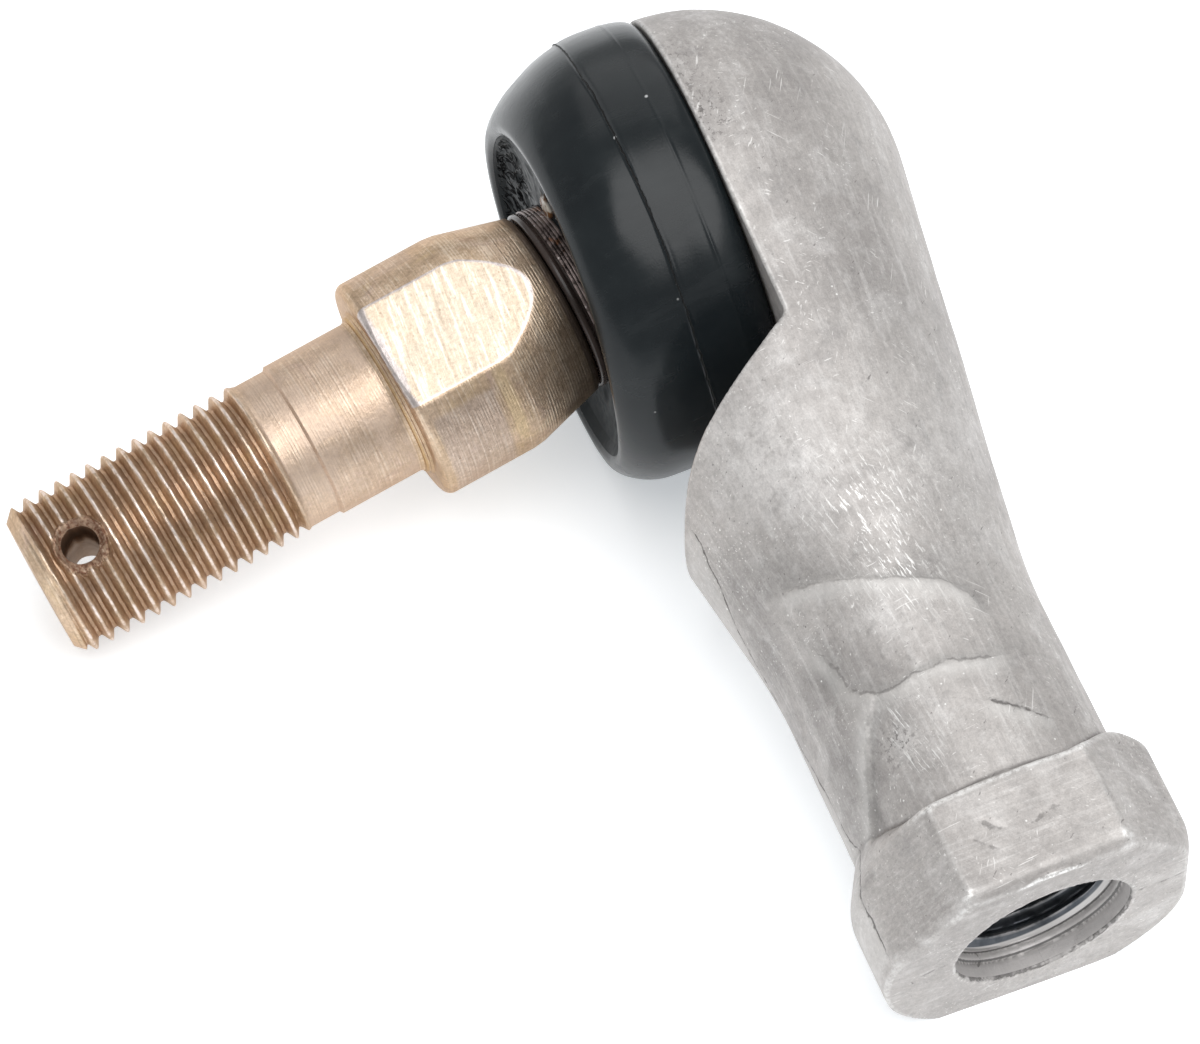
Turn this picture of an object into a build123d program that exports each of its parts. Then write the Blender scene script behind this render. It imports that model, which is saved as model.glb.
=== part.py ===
"""Rod end bearing: an angle ball joint with a sealed ball stud and a tapped shank.

Frame, in millimetres: the origin is the ball's centre. +X runs along the shank to its
tapped end, the mouth of the socket opens along -Y, and +Z is up when the joint lies on
its side. The ball stud leans a few degrees towards the shank, about the Z axis.
"""
from build123d import *
from math import cos, radians, sin, sqrt, tan
import os

os.makedirs("parts", exist_ok=True)

# --- Driving dimensions ---------------------------------------------------------------
# Housing
head_radius = 15.3  # closed dome around the ball
shank_length = 59.9  # ball centre to the tapped end face
neck_radius = 9.65  # round neck behind the wrench collar
shank_taper = 9.2  # degrees, head to neck
wrench_radius = 11.58  # round collar at the tapped end
wrench_start = 50.8  # where the collar rises from the neck
wrench_bevel = (1.4, 0.8)  # length of the bevel behind the collar and around its end face
# Flats on the collar as (degrees from +Z towards +Y, distance from the shank's axis)
wrench_flats = ((4.7, 10.0), (184.7, 10.0), (53.3, 10.89), (-43.9, 10.89))
flange_y = 0.9  # boot's landing face, just behind the ball centre
wall_foot_x = 16.1  # foot of the sloped wall between landing and shank
wall_top = (21.5, -9.0)  # x, y where the wall meets the ramp
ramp_top = (24.8, -11.3)  # x, y where the ramp meets the tapered shank

# Socket
ball_radius = 9.5
running_clearance = 0.05  # ball to seats, and stud to boot lip
socket_radius = 10.9
socket_depth = 12.0
socket_floor_radius = 4.6
rim_radius = 12.2  # outside of the rim that carries the boot
rim_height = 5.3  # rim top above the ball centre
staked_lip_radius = 10.3
washer_top = 4.8
washer_thickness = 0.9
spring_height = 0.95
bead_groove_radius = 11.4
bead_groove = (1.1, 2.9)  # heights above the ball centre

# Tapped end, M12 x 1.25
tap_minor_radius = 5.35
tap_counterbore_radius = 6.4
tap_counterbore_depth = 1.6
tap_depth = 29.0

# Ball stud, stations measured from the ball centre along its own axis
stud_lean = 7.3  # degrees from -Y towards +X
stud_length = 54.1
stud_neck_radius = 4.95
lip_seat = (10.1, 12.3)  # cylinder that the boot lip grips
lip_seat_radius = 5.7
cone_end_radius = 7.0
collar_radius = 8.5
collar_start = 18.1  # where the cone reaches the collar's full radius
collar_end = 25.7
collar_rounding = 0.6
collar_flats = 14.8  # across the two wrench flats
collar_roll = -10.9  # degrees, one flat's normal away from +Z, towards -X
shoulder_radius = 5.95
shoulder_end = 32.9
relief_radius = 5.7
relief_end = 35.3
thread_radius = 5.93
tip_chamfer = 1.1
cotter_station = 50.4
cotter_roll = -15.9
cotter_radius = 1.5
cotter_flare_radius = 2.1

# Boot
boot_radius = 16.0
boot_wall = 1.3
boot_front = 11.86  # height of the rolled front above the ball centre
boot_mouth_radius = 11.6
base_wire_radius = 0.45
base_wire_ring = (13.6, 1.4)  # ring radius and height
lip_thickness = 0.6
clip_thickness = 0.7
clip_turns = 5
clip_gap = 0.06

# --- Planes and helpers ---------------------------------------------------------------
lean = radians(stud_lean)
socket_axis = Axis((0, 0, 0), (0, -1, 0))
stud_direction = Vector(sin(lean), -cos(lean), 0)
stud_side = Vector(cos(lean), sin(lean), 0)
stud_axis = Axis((0, 0, 0), stud_direction)
# Half-profiles are drawn as (radius, station): local x is the radius, local y the station.
socket_profile = Plane(origin=(0, 0, 0), x_dir=(1, 0, 0), z_dir=(0, 0, -1))
stud_profile = Plane(origin=(0, 0, 0), x_dir=stud_side, z_dir=-Vector(0, 0, 1))


def stud_plane(station, roll=0.0):
    """Plane across the stud, whose local x points at +Z turned by roll degrees."""
    turn = radians(roll)
    x_dir = Vector(0, 0, 1) * cos(turn) - stud_side * sin(turn)
    return Plane(origin=stud_direction * station, x_dir=x_dir, z_dir=stud_direction)


def sphere_station(radius, at_radius):
    """Height above the centre at which a sphere has the given section radius."""
    return sqrt(radius**2 - at_radius**2)


def finish(node, label):
    node.part.label = label
    export_step(node.part, f"parts/{label}.step")


# --- Housing --------------------------------------------------------------------------
taper = radians(shank_taper)
taper_start = (head_radius * sin(taper), head_radius * cos(taper))
taper_end_x = taper_start[0] + (taper_start[1] - neck_radius) / tan(taper)
shank_clear = 25.0  # larger than anything the mouth's cut has to clear

with BuildPart() as housing:
    # Dome, tapered shank and round neck in one turn about X
    with BuildSketch(Plane.XY):
        with BuildLine():
            ThreePointArc((-head_radius, 0), (0, head_radius), taper_start)
            Polyline(
                taper_start,
                (taper_end_x, neck_radius),
                (shank_length, neck_radius),
                (shank_length, 0),
                (-head_radius, 0),
            )
        make_face()
    revolve(axis=Axis.X)

    # Round wrench collar, bevelled at both ends, then its flats
    with BuildSketch(Plane.XY):
        with BuildLine():
            Polyline(
                (wrench_start, 0),
                (wrench_start, neck_radius),
                (wrench_start + wrench_bevel[0], wrench_radius),
                (shank_length - wrench_bevel[1], wrench_radius),
                (shank_length, wrench_radius - wrench_bevel[1]),
                (shank_length, 0),
                close=True,
            )
        make_face()
    revolve(axis=Axis.X)
    collar_middle = (wrench_start + shank_length) / 2
    for angle, distance in wrench_flats:
        outward = Vector(0, sin(radians(angle)), cos(radians(angle)))
        flat_centre = Vector(collar_middle, 0, 0) + outward * distance
        with BuildSketch(Plane(origin=flat_centre, x_dir=(1, 0, 0), z_dir=outward)):
            Rectangle(shank_length - wrench_start, 2 * wrench_radius)
        extrude(amount=wrench_radius - distance + 1, mode=Mode.SUBTRACT)

    # Landing face for the boot, the sloped wall beside it, and the ramp over the wall
    with BuildSketch(Plane.XY) as mouth_cut:
        with BuildLine():
            Polyline(
                (-shank_clear, flange_y),
                (wall_foot_x, flange_y),
                wall_top,
                ramp_top,
                (ramp_top[0], -shank_clear),
                (-shank_clear, -shank_clear),
                close=True,
            )
        make_face()
        fillet(mouth_cut.vertices().group_by(Axis.Y)[-1].sort_by(Axis.X)[-1], 1.0)
    extrude(amount=shank_clear, both=True, mode=Mode.SUBTRACT)

    # Rim around the socket, with the groove for the boot's bead and the staked lip
    with BuildSketch(socket_profile):
        with BuildLine():
            Polyline(
                (0, -flange_y),
                (rim_radius, -flange_y),
                (rim_radius, bead_groove[0]),
                (bead_groove_radius, bead_groove[0]),
                (bead_groove_radius, bead_groove[1]),
                (rim_radius, bead_groove[1]),
                (rim_radius, rim_height - 0.5),
                (rim_radius - 0.5, rim_height),
                (0, rim_height),
                close=True,
            )
        make_face()
    revolve(axis=socket_axis)
    with BuildSketch(socket_profile):
        with BuildLine():
            Polyline(
                (0, rim_height),
                (staked_lip_radius, rim_height),
                (staked_lip_radius, washer_top),
                (socket_radius, washer_top),
                (socket_radius, -socket_depth / 2),
                (socket_floor_radius, -socket_depth),
                (0, -socket_depth),
                close=True,
            )
        make_face()
    revolve(axis=socket_axis, mode=Mode.SUBTRACT)

    # Tapped hole: counterbore, thread at its minor diameter, drill point
    with BuildSketch(Plane.XY):
        with BuildLine():
            Polyline(
                (shank_length, 0),
                (shank_length, tap_counterbore_radius),
                (shank_length - tap_counterbore_depth, tap_counterbore_radius),
                (shank_length - tap_counterbore_depth, tap_minor_radius),
                (shank_length - tap_counterbore_depth - tap_depth, tap_minor_radius),
                (shank_length - tap_counterbore_depth - tap_depth - 2.5, 0),
                close=True,
            )
        make_face()
    revolve(axis=Axis.X, mode=Mode.SUBTRACT)

finish(housing, "housing")

# --- Seats, spring and closing washer ---------------------------------------------------
seat_radius = ball_radius + running_clearance
seat_split = 0.3  # height of the joint between the two seats
washer_bottom = washer_top - washer_thickness
pocket_radius = 3.0  # grease pocket under the ball
seat_floor = -socket_depth + spring_height

with BuildPart() as lower_seat:
    with BuildSketch(socket_profile):
        with BuildLine():
            Polyline(
                (sphere_station(seat_radius, seat_split), seat_split),
                (socket_radius, seat_split),
                (socket_radius, -socket_depth / 2),
                (socket_floor_radius + spring_height, seat_floor),
                (pocket_radius, seat_floor),
                (pocket_radius, -sphere_station(seat_radius, pocket_radius)),
            )
            ThreePointArc(
                (pocket_radius, -sphere_station(seat_radius, pocket_radius)),
                (seat_radius * cos(radians(30)), -seat_radius * sin(radians(30))),
                (sphere_station(seat_radius, seat_split), seat_split),
            )
        make_face()
    revolve(axis=socket_axis)

finish(lower_seat, "lower_seat")

with BuildPart() as upper_seat:
    with BuildSketch(socket_profile):
        with BuildLine():
            Polyline(
                (sphere_station(seat_radius, seat_split), seat_split),
                (socket_radius, seat_split),
                (socket_radius, washer_bottom),
                (sphere_station(seat_radius, washer_bottom), washer_bottom),
            )
            ThreePointArc(
                (sphere_station(seat_radius, washer_bottom), washer_bottom),
                (seat_radius * cos(radians(12)), seat_radius * sin(radians(12))),
                (sphere_station(seat_radius, seat_split), seat_split),
            )
        make_face()
    revolve(axis=socket_axis)

finish(upper_seat, "upper_seat")

with BuildPart() as retaining_washer:
    with BuildSketch(socket_profile):
        with BuildLine():
            Polyline(
                (sphere_station(seat_radius, washer_bottom) + 0.2, washer_bottom),
                (socket_radius, washer_bottom),
                (socket_radius, washer_top),
                (staked_lip_radius - 0.7, washer_top),
                close=True,
            )
        make_face()
    revolve(axis=socket_axis)

finish(retaining_washer, "retaining_washer")

# A coned disc spring that presses the lower seat up against the ball
spring_thickness = 0.5
spring_radii = (1.6, socket_floor_radius - 0.2)
with BuildPart() as preload_spring:
    with BuildSketch(socket_profile):
        with BuildLine():
            Polyline(
                (spring_radii[1], -socket_depth),
                (spring_radii[1], -socket_depth + spring_thickness),
                (spring_radii[0], seat_floor),
                (spring_radii[0], seat_floor - spring_thickness),
                (spring_radii[1] - 0.4, -socket_depth),
                close=True,
            )
        make_face()
    revolve(axis=socket_axis)

finish(preload_spring, "preload_spring")

# --- Ball stud ----------------------------------------------------------------------------
neck_station = sphere_station(ball_radius, stud_neck_radius)
flare_start = neck_station + 0.7

with BuildPart() as ball_stud:
    # Everything turned: ball, neck, lip seat, cone, shoulder, relief and thread blank
    with BuildSketch(stud_profile):
        with BuildLine():
            ThreePointArc((0, -ball_radius), (ball_radius, 0), (stud_neck_radius, neck_station))
            Polyline(
                (stud_neck_radius, neck_station),
                (stud_neck_radius, flare_start),
                (lip_seat_radius, lip_seat[0]),
                (lip_seat_radius, lip_seat[1]),
                (cone_end_radius, lip_seat[1]),
                (collar_radius, collar_start),
                (collar_radius, collar_end - collar_rounding),
                (collar_radius - collar_rounding, collar_end),
                (shoulder_radius, collar_end),
                (shoulder_radius, shoulder_end),
                (relief_radius, shoulder_end),
                (relief_radius, relief_end),
                (thread_radius, relief_end + 0.25),
                (thread_radius, stud_length - tip_chamfer),
                (thread_radius - tip_chamfer, stud_length),
                (0, stud_length),
                (0, -ball_radius),
            )
        make_face()
    revolve(axis=stud_axis)

    # Two opposite wrench flats milled on the collar
    with BuildSketch(stud_plane(lip_seat[1], collar_roll)):
        Circle(collar_radius + 1)
        Rectangle(collar_flats, 3 * collar_radius, mode=Mode.SUBTRACT)
    extrude(amount=collar_end - lip_seat[1], mode=Mode.SUBTRACT)

    # Cross hole for the cotter pin, flared at both mouths
    cross_axis = stud_plane(cotter_station, cotter_roll).x_dir
    cross_plane = Plane(origin=stud_direction * cotter_station, x_dir=stud_direction, z_dir=cross_axis)
    with BuildSketch(cross_plane):
        Circle(cotter_radius)
    extrude(amount=thread_radius + 1, both=True, mode=Mode.SUBTRACT)
    for side in (1, -1):
        flare_depth = cotter_flare_radius - cotter_radius
        with BuildSketch(cross_plane.offset(side * (thread_radius - 0.35))):
            Circle(cotter_flare_radius)
        with BuildSketch(cross_plane.offset(side * (thread_radius - 0.35 - flare_depth))):
            Circle(cotter_radius)
        loft(mode=Mode.SUBTRACT)
        with BuildSketch(cross_plane.offset(side * (thread_radius - 0.35))):
            Circle(cotter_flare_radius)
        extrude(amount=side * 1.5, mode=Mode.SUBTRACT)

finish(ball_stud, "ball_stud")

# --- Boot, its lip, and the two rings that hold it ------------------------------------------
base_inner = rim_radius + 0.05
with BuildPart() as boot:
    with BuildSketch(socket_profile):
        with BuildLine():
            Polyline(
                (base_inner, -flange_y),
                (boot_radius - 1.4, -flange_y),
                (boot_radius - 0.7, 0.4),
            )
            Spline(
                (boot_radius - 0.7, 0.4),
                (boot_radius, 3.6),
                (boot_radius - 0.7, 8.6),
                (boot_radius - 2.0, 11.1),
                (boot_mouth_radius + 1.3, boot_front),
                (boot_mouth_radius, boot_front - 0.9),
            )
            Polyline(
                (boot_mouth_radius, boot_front - 0.9),
                (boot_mouth_radius + 0.8, boot_front - boot_wall - 0.6),
                (boot_radius - 3.0, 9.3),
                (boot_radius - boot_wall - 0.8, 7.2),
                (boot_radius - boot_wall - 0.2, 4.0),
                (boot_radius - boot_wall - 0.7, bead_groove[1]),
                (bead_groove_radius + 0.1, bead_groove[1] - 0.1),
                (bead_groove_radius + 0.1, bead_groove[0] + 0.1),
                (base_inner, bead_groove[0] + 0.1),
                (base_inner, -flange_y),
            )
        make_face()
        with Locations(base_wire_ring):
            Circle(base_wire_radius, mode=Mode.SUBTRACT)
    revolve(axis=socket_axis)

finish(boot, "boot")

with BuildPart() as boot_base_ring:
    with BuildSketch(socket_profile):
        with Locations(base_wire_ring):
            Circle(base_wire_radius)
    revolve(axis=socket_axis)

finish(boot_base_ring, "boot_base_ring")

lip_inner = lip_seat_radius + running_clearance
lip_outer = lip_inner + lip_thickness
lip_end = lip_seat[1] - 0.1
fold_radius = boot_mouth_radius - 2.9
with BuildPart() as boot_lip:
    with BuildSketch(stud_profile):
        with BuildLine():
            Polyline(
                (lip_inner, lip_seat[0] - 0.3),
                (fold_radius, lip_seat[0] - 0.1),
                (fold_radius, lip_seat[0] + 0.9),
                (lip_outer + 0.3, lip_seat[0] + 0.5),
                (lip_outer, lip_seat[0] + 0.5),
                (lip_outer, lip_end),
                (lip_inner, lip_end),
                close=True,
            )
        make_face()
    revolve(axis=stud_axis)

finish(boot_lip, "boot_lip")

# Flat-wire clip, wound in touching turns around the lip
clip_start = lip_seat[0] + 0.55
clip_pitch = (lip_end - clip_start) / clip_turns
with BuildPart() as boot_clip:
    with BuildSketch(stud_profile):
        with Locations((lip_outer + clip_thickness / 2, (clip_start + lip_end) / 2)):
            Rectangle(clip_thickness - 0.3, lip_end - clip_start)
        for turn in range(clip_turns):
            with Locations((lip_outer + clip_thickness / 2, clip_start + (turn + 0.5) * clip_pitch)):
                Rectangle(clip_thickness, clip_pitch - clip_gap)
    revolve(axis=stud_axis)

finish(boot_clip, "boot_clip")
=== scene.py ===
"""Looks of the angle ball joint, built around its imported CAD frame.

Shapes are worked out in millimetres in the part's frame and become metres when a mesh is
made. The housing is one continuous field that is meshed at a fixed grid, the stud is one
turned grid, and the boot is a set of closed rings that bend between the bodies.
"""
import math

import bpy
import numpy as np
from mathutils import Matrix, Vector


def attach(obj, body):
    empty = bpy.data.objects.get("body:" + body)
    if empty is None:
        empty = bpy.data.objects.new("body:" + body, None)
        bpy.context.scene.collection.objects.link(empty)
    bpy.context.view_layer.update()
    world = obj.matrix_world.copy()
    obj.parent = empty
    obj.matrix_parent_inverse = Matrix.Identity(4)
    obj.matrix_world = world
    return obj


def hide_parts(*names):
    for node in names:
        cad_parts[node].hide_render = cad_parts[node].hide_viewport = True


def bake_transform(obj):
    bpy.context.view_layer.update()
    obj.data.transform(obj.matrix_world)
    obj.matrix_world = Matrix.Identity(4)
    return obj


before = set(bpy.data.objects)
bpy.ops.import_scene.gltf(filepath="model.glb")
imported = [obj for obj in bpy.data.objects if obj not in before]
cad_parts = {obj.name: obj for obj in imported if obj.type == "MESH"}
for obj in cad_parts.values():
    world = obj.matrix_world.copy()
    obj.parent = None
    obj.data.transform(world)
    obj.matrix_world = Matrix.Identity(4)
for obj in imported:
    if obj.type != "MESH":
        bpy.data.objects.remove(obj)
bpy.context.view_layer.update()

MM = 0.001

# ---- Sizes, in millimetres, shared with the CAD part
HEAD_R = 15.3
NECK_R = 9.62
NECK_X = 24.0  # the neck's plain length starts behind this
TAPER = math.radians(9.2)
WRENCH_R = 11.56
# Flats of the wrench collar: degrees from +Z towards +Y, distance from the axis
WRENCH_FLATS = ((4.7, 10.0), (184.7, 10.0), (53.3, 10.89), (-43.9, 10.89))
END_X = 59.9
FLANGE_Y = 0.9
WALL_FOOT = (16.1, 0.9)
WALL_TOP = (21.5, -9.0)
RAMP_TOP = (24.8, -11.3)
BORE_R = 6.02
BORE_END = 28.6
COUNTERBORE_R = 6.4
COUNTERBORE_END = 57.8
TAP_MINOR_R = 5.35
PITCH = 1.25

LEAN = math.radians(7.3)
STUD_DIR = np.array([math.sin(LEAN), -math.cos(LEAN), 0.0])
STUD_SIDE = np.array([math.cos(LEAN), math.sin(LEAN), 0.0])
UP = np.array([0.0, 0.0, 1.0])
BALL_R = 9.5
COLLAR_START = 12.3
COLLAR_END = 25.7
COLLAR_R = 8.5
COLLAR_FULL = 18.1
COLLAR_FLATS = 14.8
COLLAR_ROLL = math.radians(-10.9)
SHOULDER_R = 5.95
SHOULDER_END = 32.9
RELIEF_R = 5.7
THREAD_START = 35.3
THREAD_R = 5.93
THREAD_END = 53.0
STUD_END = 54.1
COTTER_S = 50.4
COTTER_ROLL = math.radians(-15.9)
COTTER_R = 1.5


# ---- Numbers
LATTICE = np.random.RandomState(7).rand(32, 32, 32).astype(np.float32) * 2 - 1


def noise(points, size, shift=0.0):
    """Smooth value noise from -1 to 1 at points (..., 3), with cells of the given size."""
    q = (np.asarray(points, float) / np.asarray(size, float) + shift).reshape(-1, 3)
    cell = np.floor(q).astype(int)
    f = q - cell
    f = f * f * (3 - 2 * f)
    total = 0.0
    for corner in range(8):
        step = np.array([corner & 1, corner >> 1 & 1, corner >> 2])
        at = (cell + step) % 32
        weight = np.prod(np.where(step, f, 1 - f), axis=1)
        total = total + weight * LATTICE[at[:, 0], at[:, 1], at[:, 2]]
    return total.reshape(np.shape(points)[:-1])


def fractal(points, size, octaves=3, shift=0.0):
    """Noise with finer noise added, each octave half as large and half as strong."""
    total, gain = 0.0, 1.0
    for k in range(octaves):
        total = total + gain * noise(points, np.asarray(size, float) / 2**k, shift + 9.7 * k)
        gain *= 0.5
    return total / (2 - 2 * gain)


def ring_noise(angle, radius, size, shift=0.0, height=0.0):
    """Noise read on a circle, so that it closes on itself."""
    height = np.broadcast_to(height, angle.shape)
    circle = np.stack([radius * np.cos(angle), radius * np.sin(angle), height], -1)
    return noise(circle, size, shift)


def ramp(x, low, high):
    """0 up to low, 1 from high on, and a smooth rise between; low may be the larger."""
    t = np.clip((x - low) / (high - low), 0, 1)
    return t * t * (3 - 2 * t)


def smooth_max(a, b, k):
    """The larger of two fields, rounded over where they differ by less than k."""
    h = np.maximum(k - np.abs(a - b), 0) / k
    return np.maximum(a, b) + h * h * k * 0.25


def smooth_min(a, b, k):
    return -smooth_max(-a, -b, k)


def bell(x, width):
    """1 where x is 0, falling off on both sides."""
    return np.exp(-((x / width) ** 2))


def round_grid(column, turns):
    """A value for each row, the same all the way round."""
    return np.tile(np.asarray(column, float)[:, None], (1, turns))


def polygon_field(u, v, corners):
    """Signed distance to a closed polygon in the plane, negative inside."""
    best = np.full(u.shape, 1e9, np.float32)
    inside = np.zeros(u.shape, bool)
    for (au, av), (bu, bv) in zip(corners, corners[1:] + corners[:1]):
        eu, ev = bu - au, bv - av
        t = np.clip(((u - au) * eu + (v - av) * ev) / (eu * eu + ev * ev), 0, 1)
        best = np.minimum(best, (u - au - t * eu) ** 2 + (v - av - t * ev) ** 2)
        if ev:
            crosses = (av > v) != (bv > v)
            inside ^= crosses & (u < au + (v - av) * eu / ev)
    return np.where(inside, -1, 1) * np.sqrt(best)


def path_field(u, v, path):
    """Distance to an open path, the side of it (+1 left of its direction) and the share of
    the way along it, for points in the plane."""
    path = np.asarray(path, float)
    lengths = np.r_[0, np.cumsum(np.hypot(*np.diff(path, axis=0).T))]
    best = np.full(u.shape, 1e9)
    side = np.ones(u.shape)
    along = np.zeros(u.shape)
    for k in range(len(path) - 1):
        a, e = path[k], path[k + 1] - path[k]
        t = np.clip(((u - a[0]) * e[0] + (v - a[1]) * e[1]) / (e @ e), 0, 1)
        du, dv = u - a[0] - t * e[0], v - a[1] - t * e[1]
        d = np.hypot(du, dv)
        near = d < best
        best = np.where(near, d, best)
        side = np.where(near, np.sign(e[0] * dv - e[1] * du), side)
        along = np.where(near, (lengths[k] + t * np.hypot(*e)) / lengths[-1], along)
    return best, side, along


# ---- Meshes
def make_mesh(name, points, faces, sharp=None, layers=None):
    """Object from points in millimetres, faces and named per-point values."""
    mesh = bpy.data.meshes.new(name)
    mesh.from_pydata((np.asarray(points, float) * MM).tolist(), [], faces)
    mesh.validate()
    mesh.polygons.foreach_set("use_smooth", np.ones(len(mesh.polygons), bool))
    if sharp is not None:
        mesh.set_sharp_from_angle(angle=math.radians(sharp))
    for key, values in (layers or {}).items():
        layer = mesh.attributes.new(key, "FLOAT", "POINT")
        layer.data.foreach_set("value", np.asarray(values, np.float32))
    mesh.update()
    made = bpy.data.objects.new(name, mesh)
    bpy.context.scene.collection.objects.link(made)
    return made


def grid_faces(rows, columns, close_rows=False, close_columns=True):
    """Quads of a grid of points stored row by row."""
    faces = []
    for i in range(rows if close_rows else rows - 1):
        for j in range(columns if close_columns else columns - 1):
            a, b = i * columns, (i + 1) % rows * columns
            k = (j + 1) % columns
            faces.append((a + j, a + k, b + k, b + j))
    return faces


def net(field, origin, step):
    """Surface net of a sampled field: one point in each mixed cell, one quad per crossed
    grid edge. Returns points and quads."""
    inside = field < 0
    n = np.array(field.shape) - 1
    count = np.zeros(n, np.int8)
    for c in range(8):
        i, j, k = c & 1, c >> 1 & 1, c >> 2
        count += inside[i : i + n[0], j : j + n[1], k : k + n[2]]
    cells = np.argwhere((count > 0) & (count < 8))
    index = np.full(n, -1, np.int32)
    index[tuple(cells.T)] = np.arange(len(cells))
    total = np.zeros((len(cells), 3))
    hits = np.zeros(len(cells))
    for axis in range(3):
        for c in range(4):
            low = np.zeros(3, int)
            low[(axis + 1) % 3], low[(axis + 2) % 3] = c & 1, c >> 1
            high = low.copy()
            high[axis] = 1
            fa = field[tuple((cells + low).T)]
            fb = field[tuple((cells + high).T)]
            mixed = (fa < 0) != (fb < 0)
            t = np.where(mixed, fa / np.where(mixed, fa - fb, 1), 0)
            point = cells + low + np.outer(t, high - low)
            total += point * mixed[:, None]
            hits += mixed
    points = origin + step * total / hits[:, None]
    quads = []
    for axis in range(3):
        u, v = (axis + 1) % 3, (axis + 2) % 3
        a = np.moveaxis(inside, axis, 0)
        edges = np.argwhere(a[:-1] != a[1:])
        outward = a[tuple(edges.T)]
        at = np.zeros((len(edges), 3), int)
        others = [k for k in range(3) if k != axis]
        at[:, axis] = edges[:, 0]
        at[:, others[0]] = edges[:, 1]
        at[:, others[1]] = edges[:, 2]
        ring = []
        for du, dv in ((0, 0), (-1, 0), (-1, -1), (0, -1)):
            cell = at.copy()
            cell[:, u] += du
            cell[:, v] += dv
            ring.append(index[tuple(cell.T)])
        ring = np.array(ring).T
        ring[~outward] = ring[~outward][:, ::-1]
        quads.append(ring)
    return points, np.concatenate(quads)


def gradient(field, points, h=0.02):
    """The field's slope at each point, from its values h to either side."""
    g = np.empty_like(points)
    for k in range(3):
        step = np.zeros(3)
        step[k] = h
        g[:, k] = (field(points + step) - field(points - step)) / (2 * h)
    return g


# ---- Housing
CAVITY = [
    (-1.0, 5.6), (10.3, 5.6), (10.3, 4.8), (10.9, 4.8), (10.9, -6.0), (4.6, -12.0),
    (-1.0, -12.0),
]
RIM = [
    (0.0, 5.3), (12.2, 5.3), (12.2, 2.9), (11.4, 2.9), (11.4, 1.1), (12.2, 1.1), (12.2, -3.0),
    (0.0, -3.0),
]
BORE = [
    (-1.0, 62.0), (COUNTERBORE_R, 62.0), (COUNTERBORE_R, END_X - 1.4),
    (COUNTERBORE_R - 0.2, END_X - 1.5), (COUNTERBORE_R - 0.22, COUNTERBORE_END),
    (BORE_R, COUNTERBORE_END - 0.1), (BORE_R, BORE_END + 0.6), (0.0, BORE_END - 2.2),
    (-1.0, BORE_END - 2.2),
]


def wrench_collar(x, y, z, around):
    """Forged collar at the tapped end: round, with four flats and uneven bevels."""
    bevel_middle, bevel_spread = 92, 32  # degrees from +Z towards +Y
    collar = around - WRENCH_R
    for degrees, distance in WRENCH_FLATS:
        a = math.radians(degrees)
        flat = y * math.sin(a) + z * math.cos(a) - distance
        collar = smooth_max(collar, flat, 0.25)
        if degrees < 90:
            break_edge = 0.7 if distance == 10.0 else 0.5
            collar = smooth_max(collar, (flat + break_edge + x - END_X) * math.sqrt(0.5), 0.3)
    # Behind, the flanks lean while the top is almost square; they differ left and right
    side = ramp(np.abs(y), 5.0, 10.0)
    lean = 0.15 + side * np.where(y > 0, 0.6, 1.6)
    foot = 52.0 - side * np.where(y > 0, 2.15, 1.5)
    rear = ((around - NECK_R) * lean - (x - foot)) / np.sqrt(1 + lean**2)
    collar = smooth_max(collar, rear, 0.5)
    # In front the right flank has a long bevel that fades out above and below
    bevel = bell(np.degrees(np.arctan2(y, z)) - bevel_middle, bevel_spread)
    front = (around - 12.3 + 1.9 * bevel + 0.5 * (x - END_X)) / math.sqrt(1.25)
    return smooth_max(collar, front, 0.5)


def housing_field(p):
    """Signed distance to the housing's skin, near enough, negative in the metal."""
    x, y, z = p[..., 0], p[..., 1], p[..., 2]
    around = np.hypot(y, z)
    ball = np.sqrt(around**2 + x**2) - HEAD_R
    cone = around * math.cos(TAPER) + x * math.sin(TAPER) - HEAD_R
    behind = x * math.cos(TAPER) - around * math.sin(TAPER) < 0
    neck = np.maximum(around - NECK_R, NECK_X - x)
    body = smooth_min(np.where(behind, ball, cone), neck, 0.5)
    body = smooth_min(body, wrench_collar(x, y, z, around), 0.1)
    body = smooth_max(body, x - END_X, 0.25)

    def plane(a, b):
        e = np.array([b[0] - a[0], b[1] - a[1]]) / math.hypot(b[0] - a[0], b[1] - a[1])
        return (x - a[0]) * e[1] - (y - a[1]) * e[0]

    step = smooth_max(plane(WALL_FOOT, WALL_TOP), plane(WALL_TOP, RAMP_TOP), 1.2)
    keep = smooth_min(FLANGE_Y - y, step, 0.5)
    body = smooth_max(body, keep, 0.16)

    mouth = np.hypot(x, z)
    near = (mouth < 14) & (y < 14)
    if near.any():
        u, v = mouth[near], -y[near]
        core = smooth_min(body[near], polygon_field(u, v, RIM), 0.2)
        body[near] = smooth_max(core, -polygon_field(u, v, CAVITY), 0.1)
    near = (around < 8) & (x > 20)
    if near.any():
        hole = polygon_field(around[near], x[near], BORE)
        body[near] = smooth_max(body[near], -hole, 0.12)
    return body


# Forging laps near the collar, as (along the shank, round it from the top line)
BROW = [
    (32.6, -8.6), (33.8, -5.2), (35.2, -2.2), (36.3, 0.2), (37.4, 3.0), (38.9, 4.4),
    (41.4, 5.0),
]
FOLD = [
    (36.3, -8.1), (38.3, -6.9), (40.0, -6.4), (41.7, -6.0), (43.1, -4.3), (43.3, -3.5),
    (43.0, -1.7), (43.2, 0.7), (43.7, 2.5), (44.0, 6.1),
]
CREASE = [(43.0, -4.6), (44.6, -6.0), (46.2, -6.9), (48.9, -8.4), (51.6, -10.2)]
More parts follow.
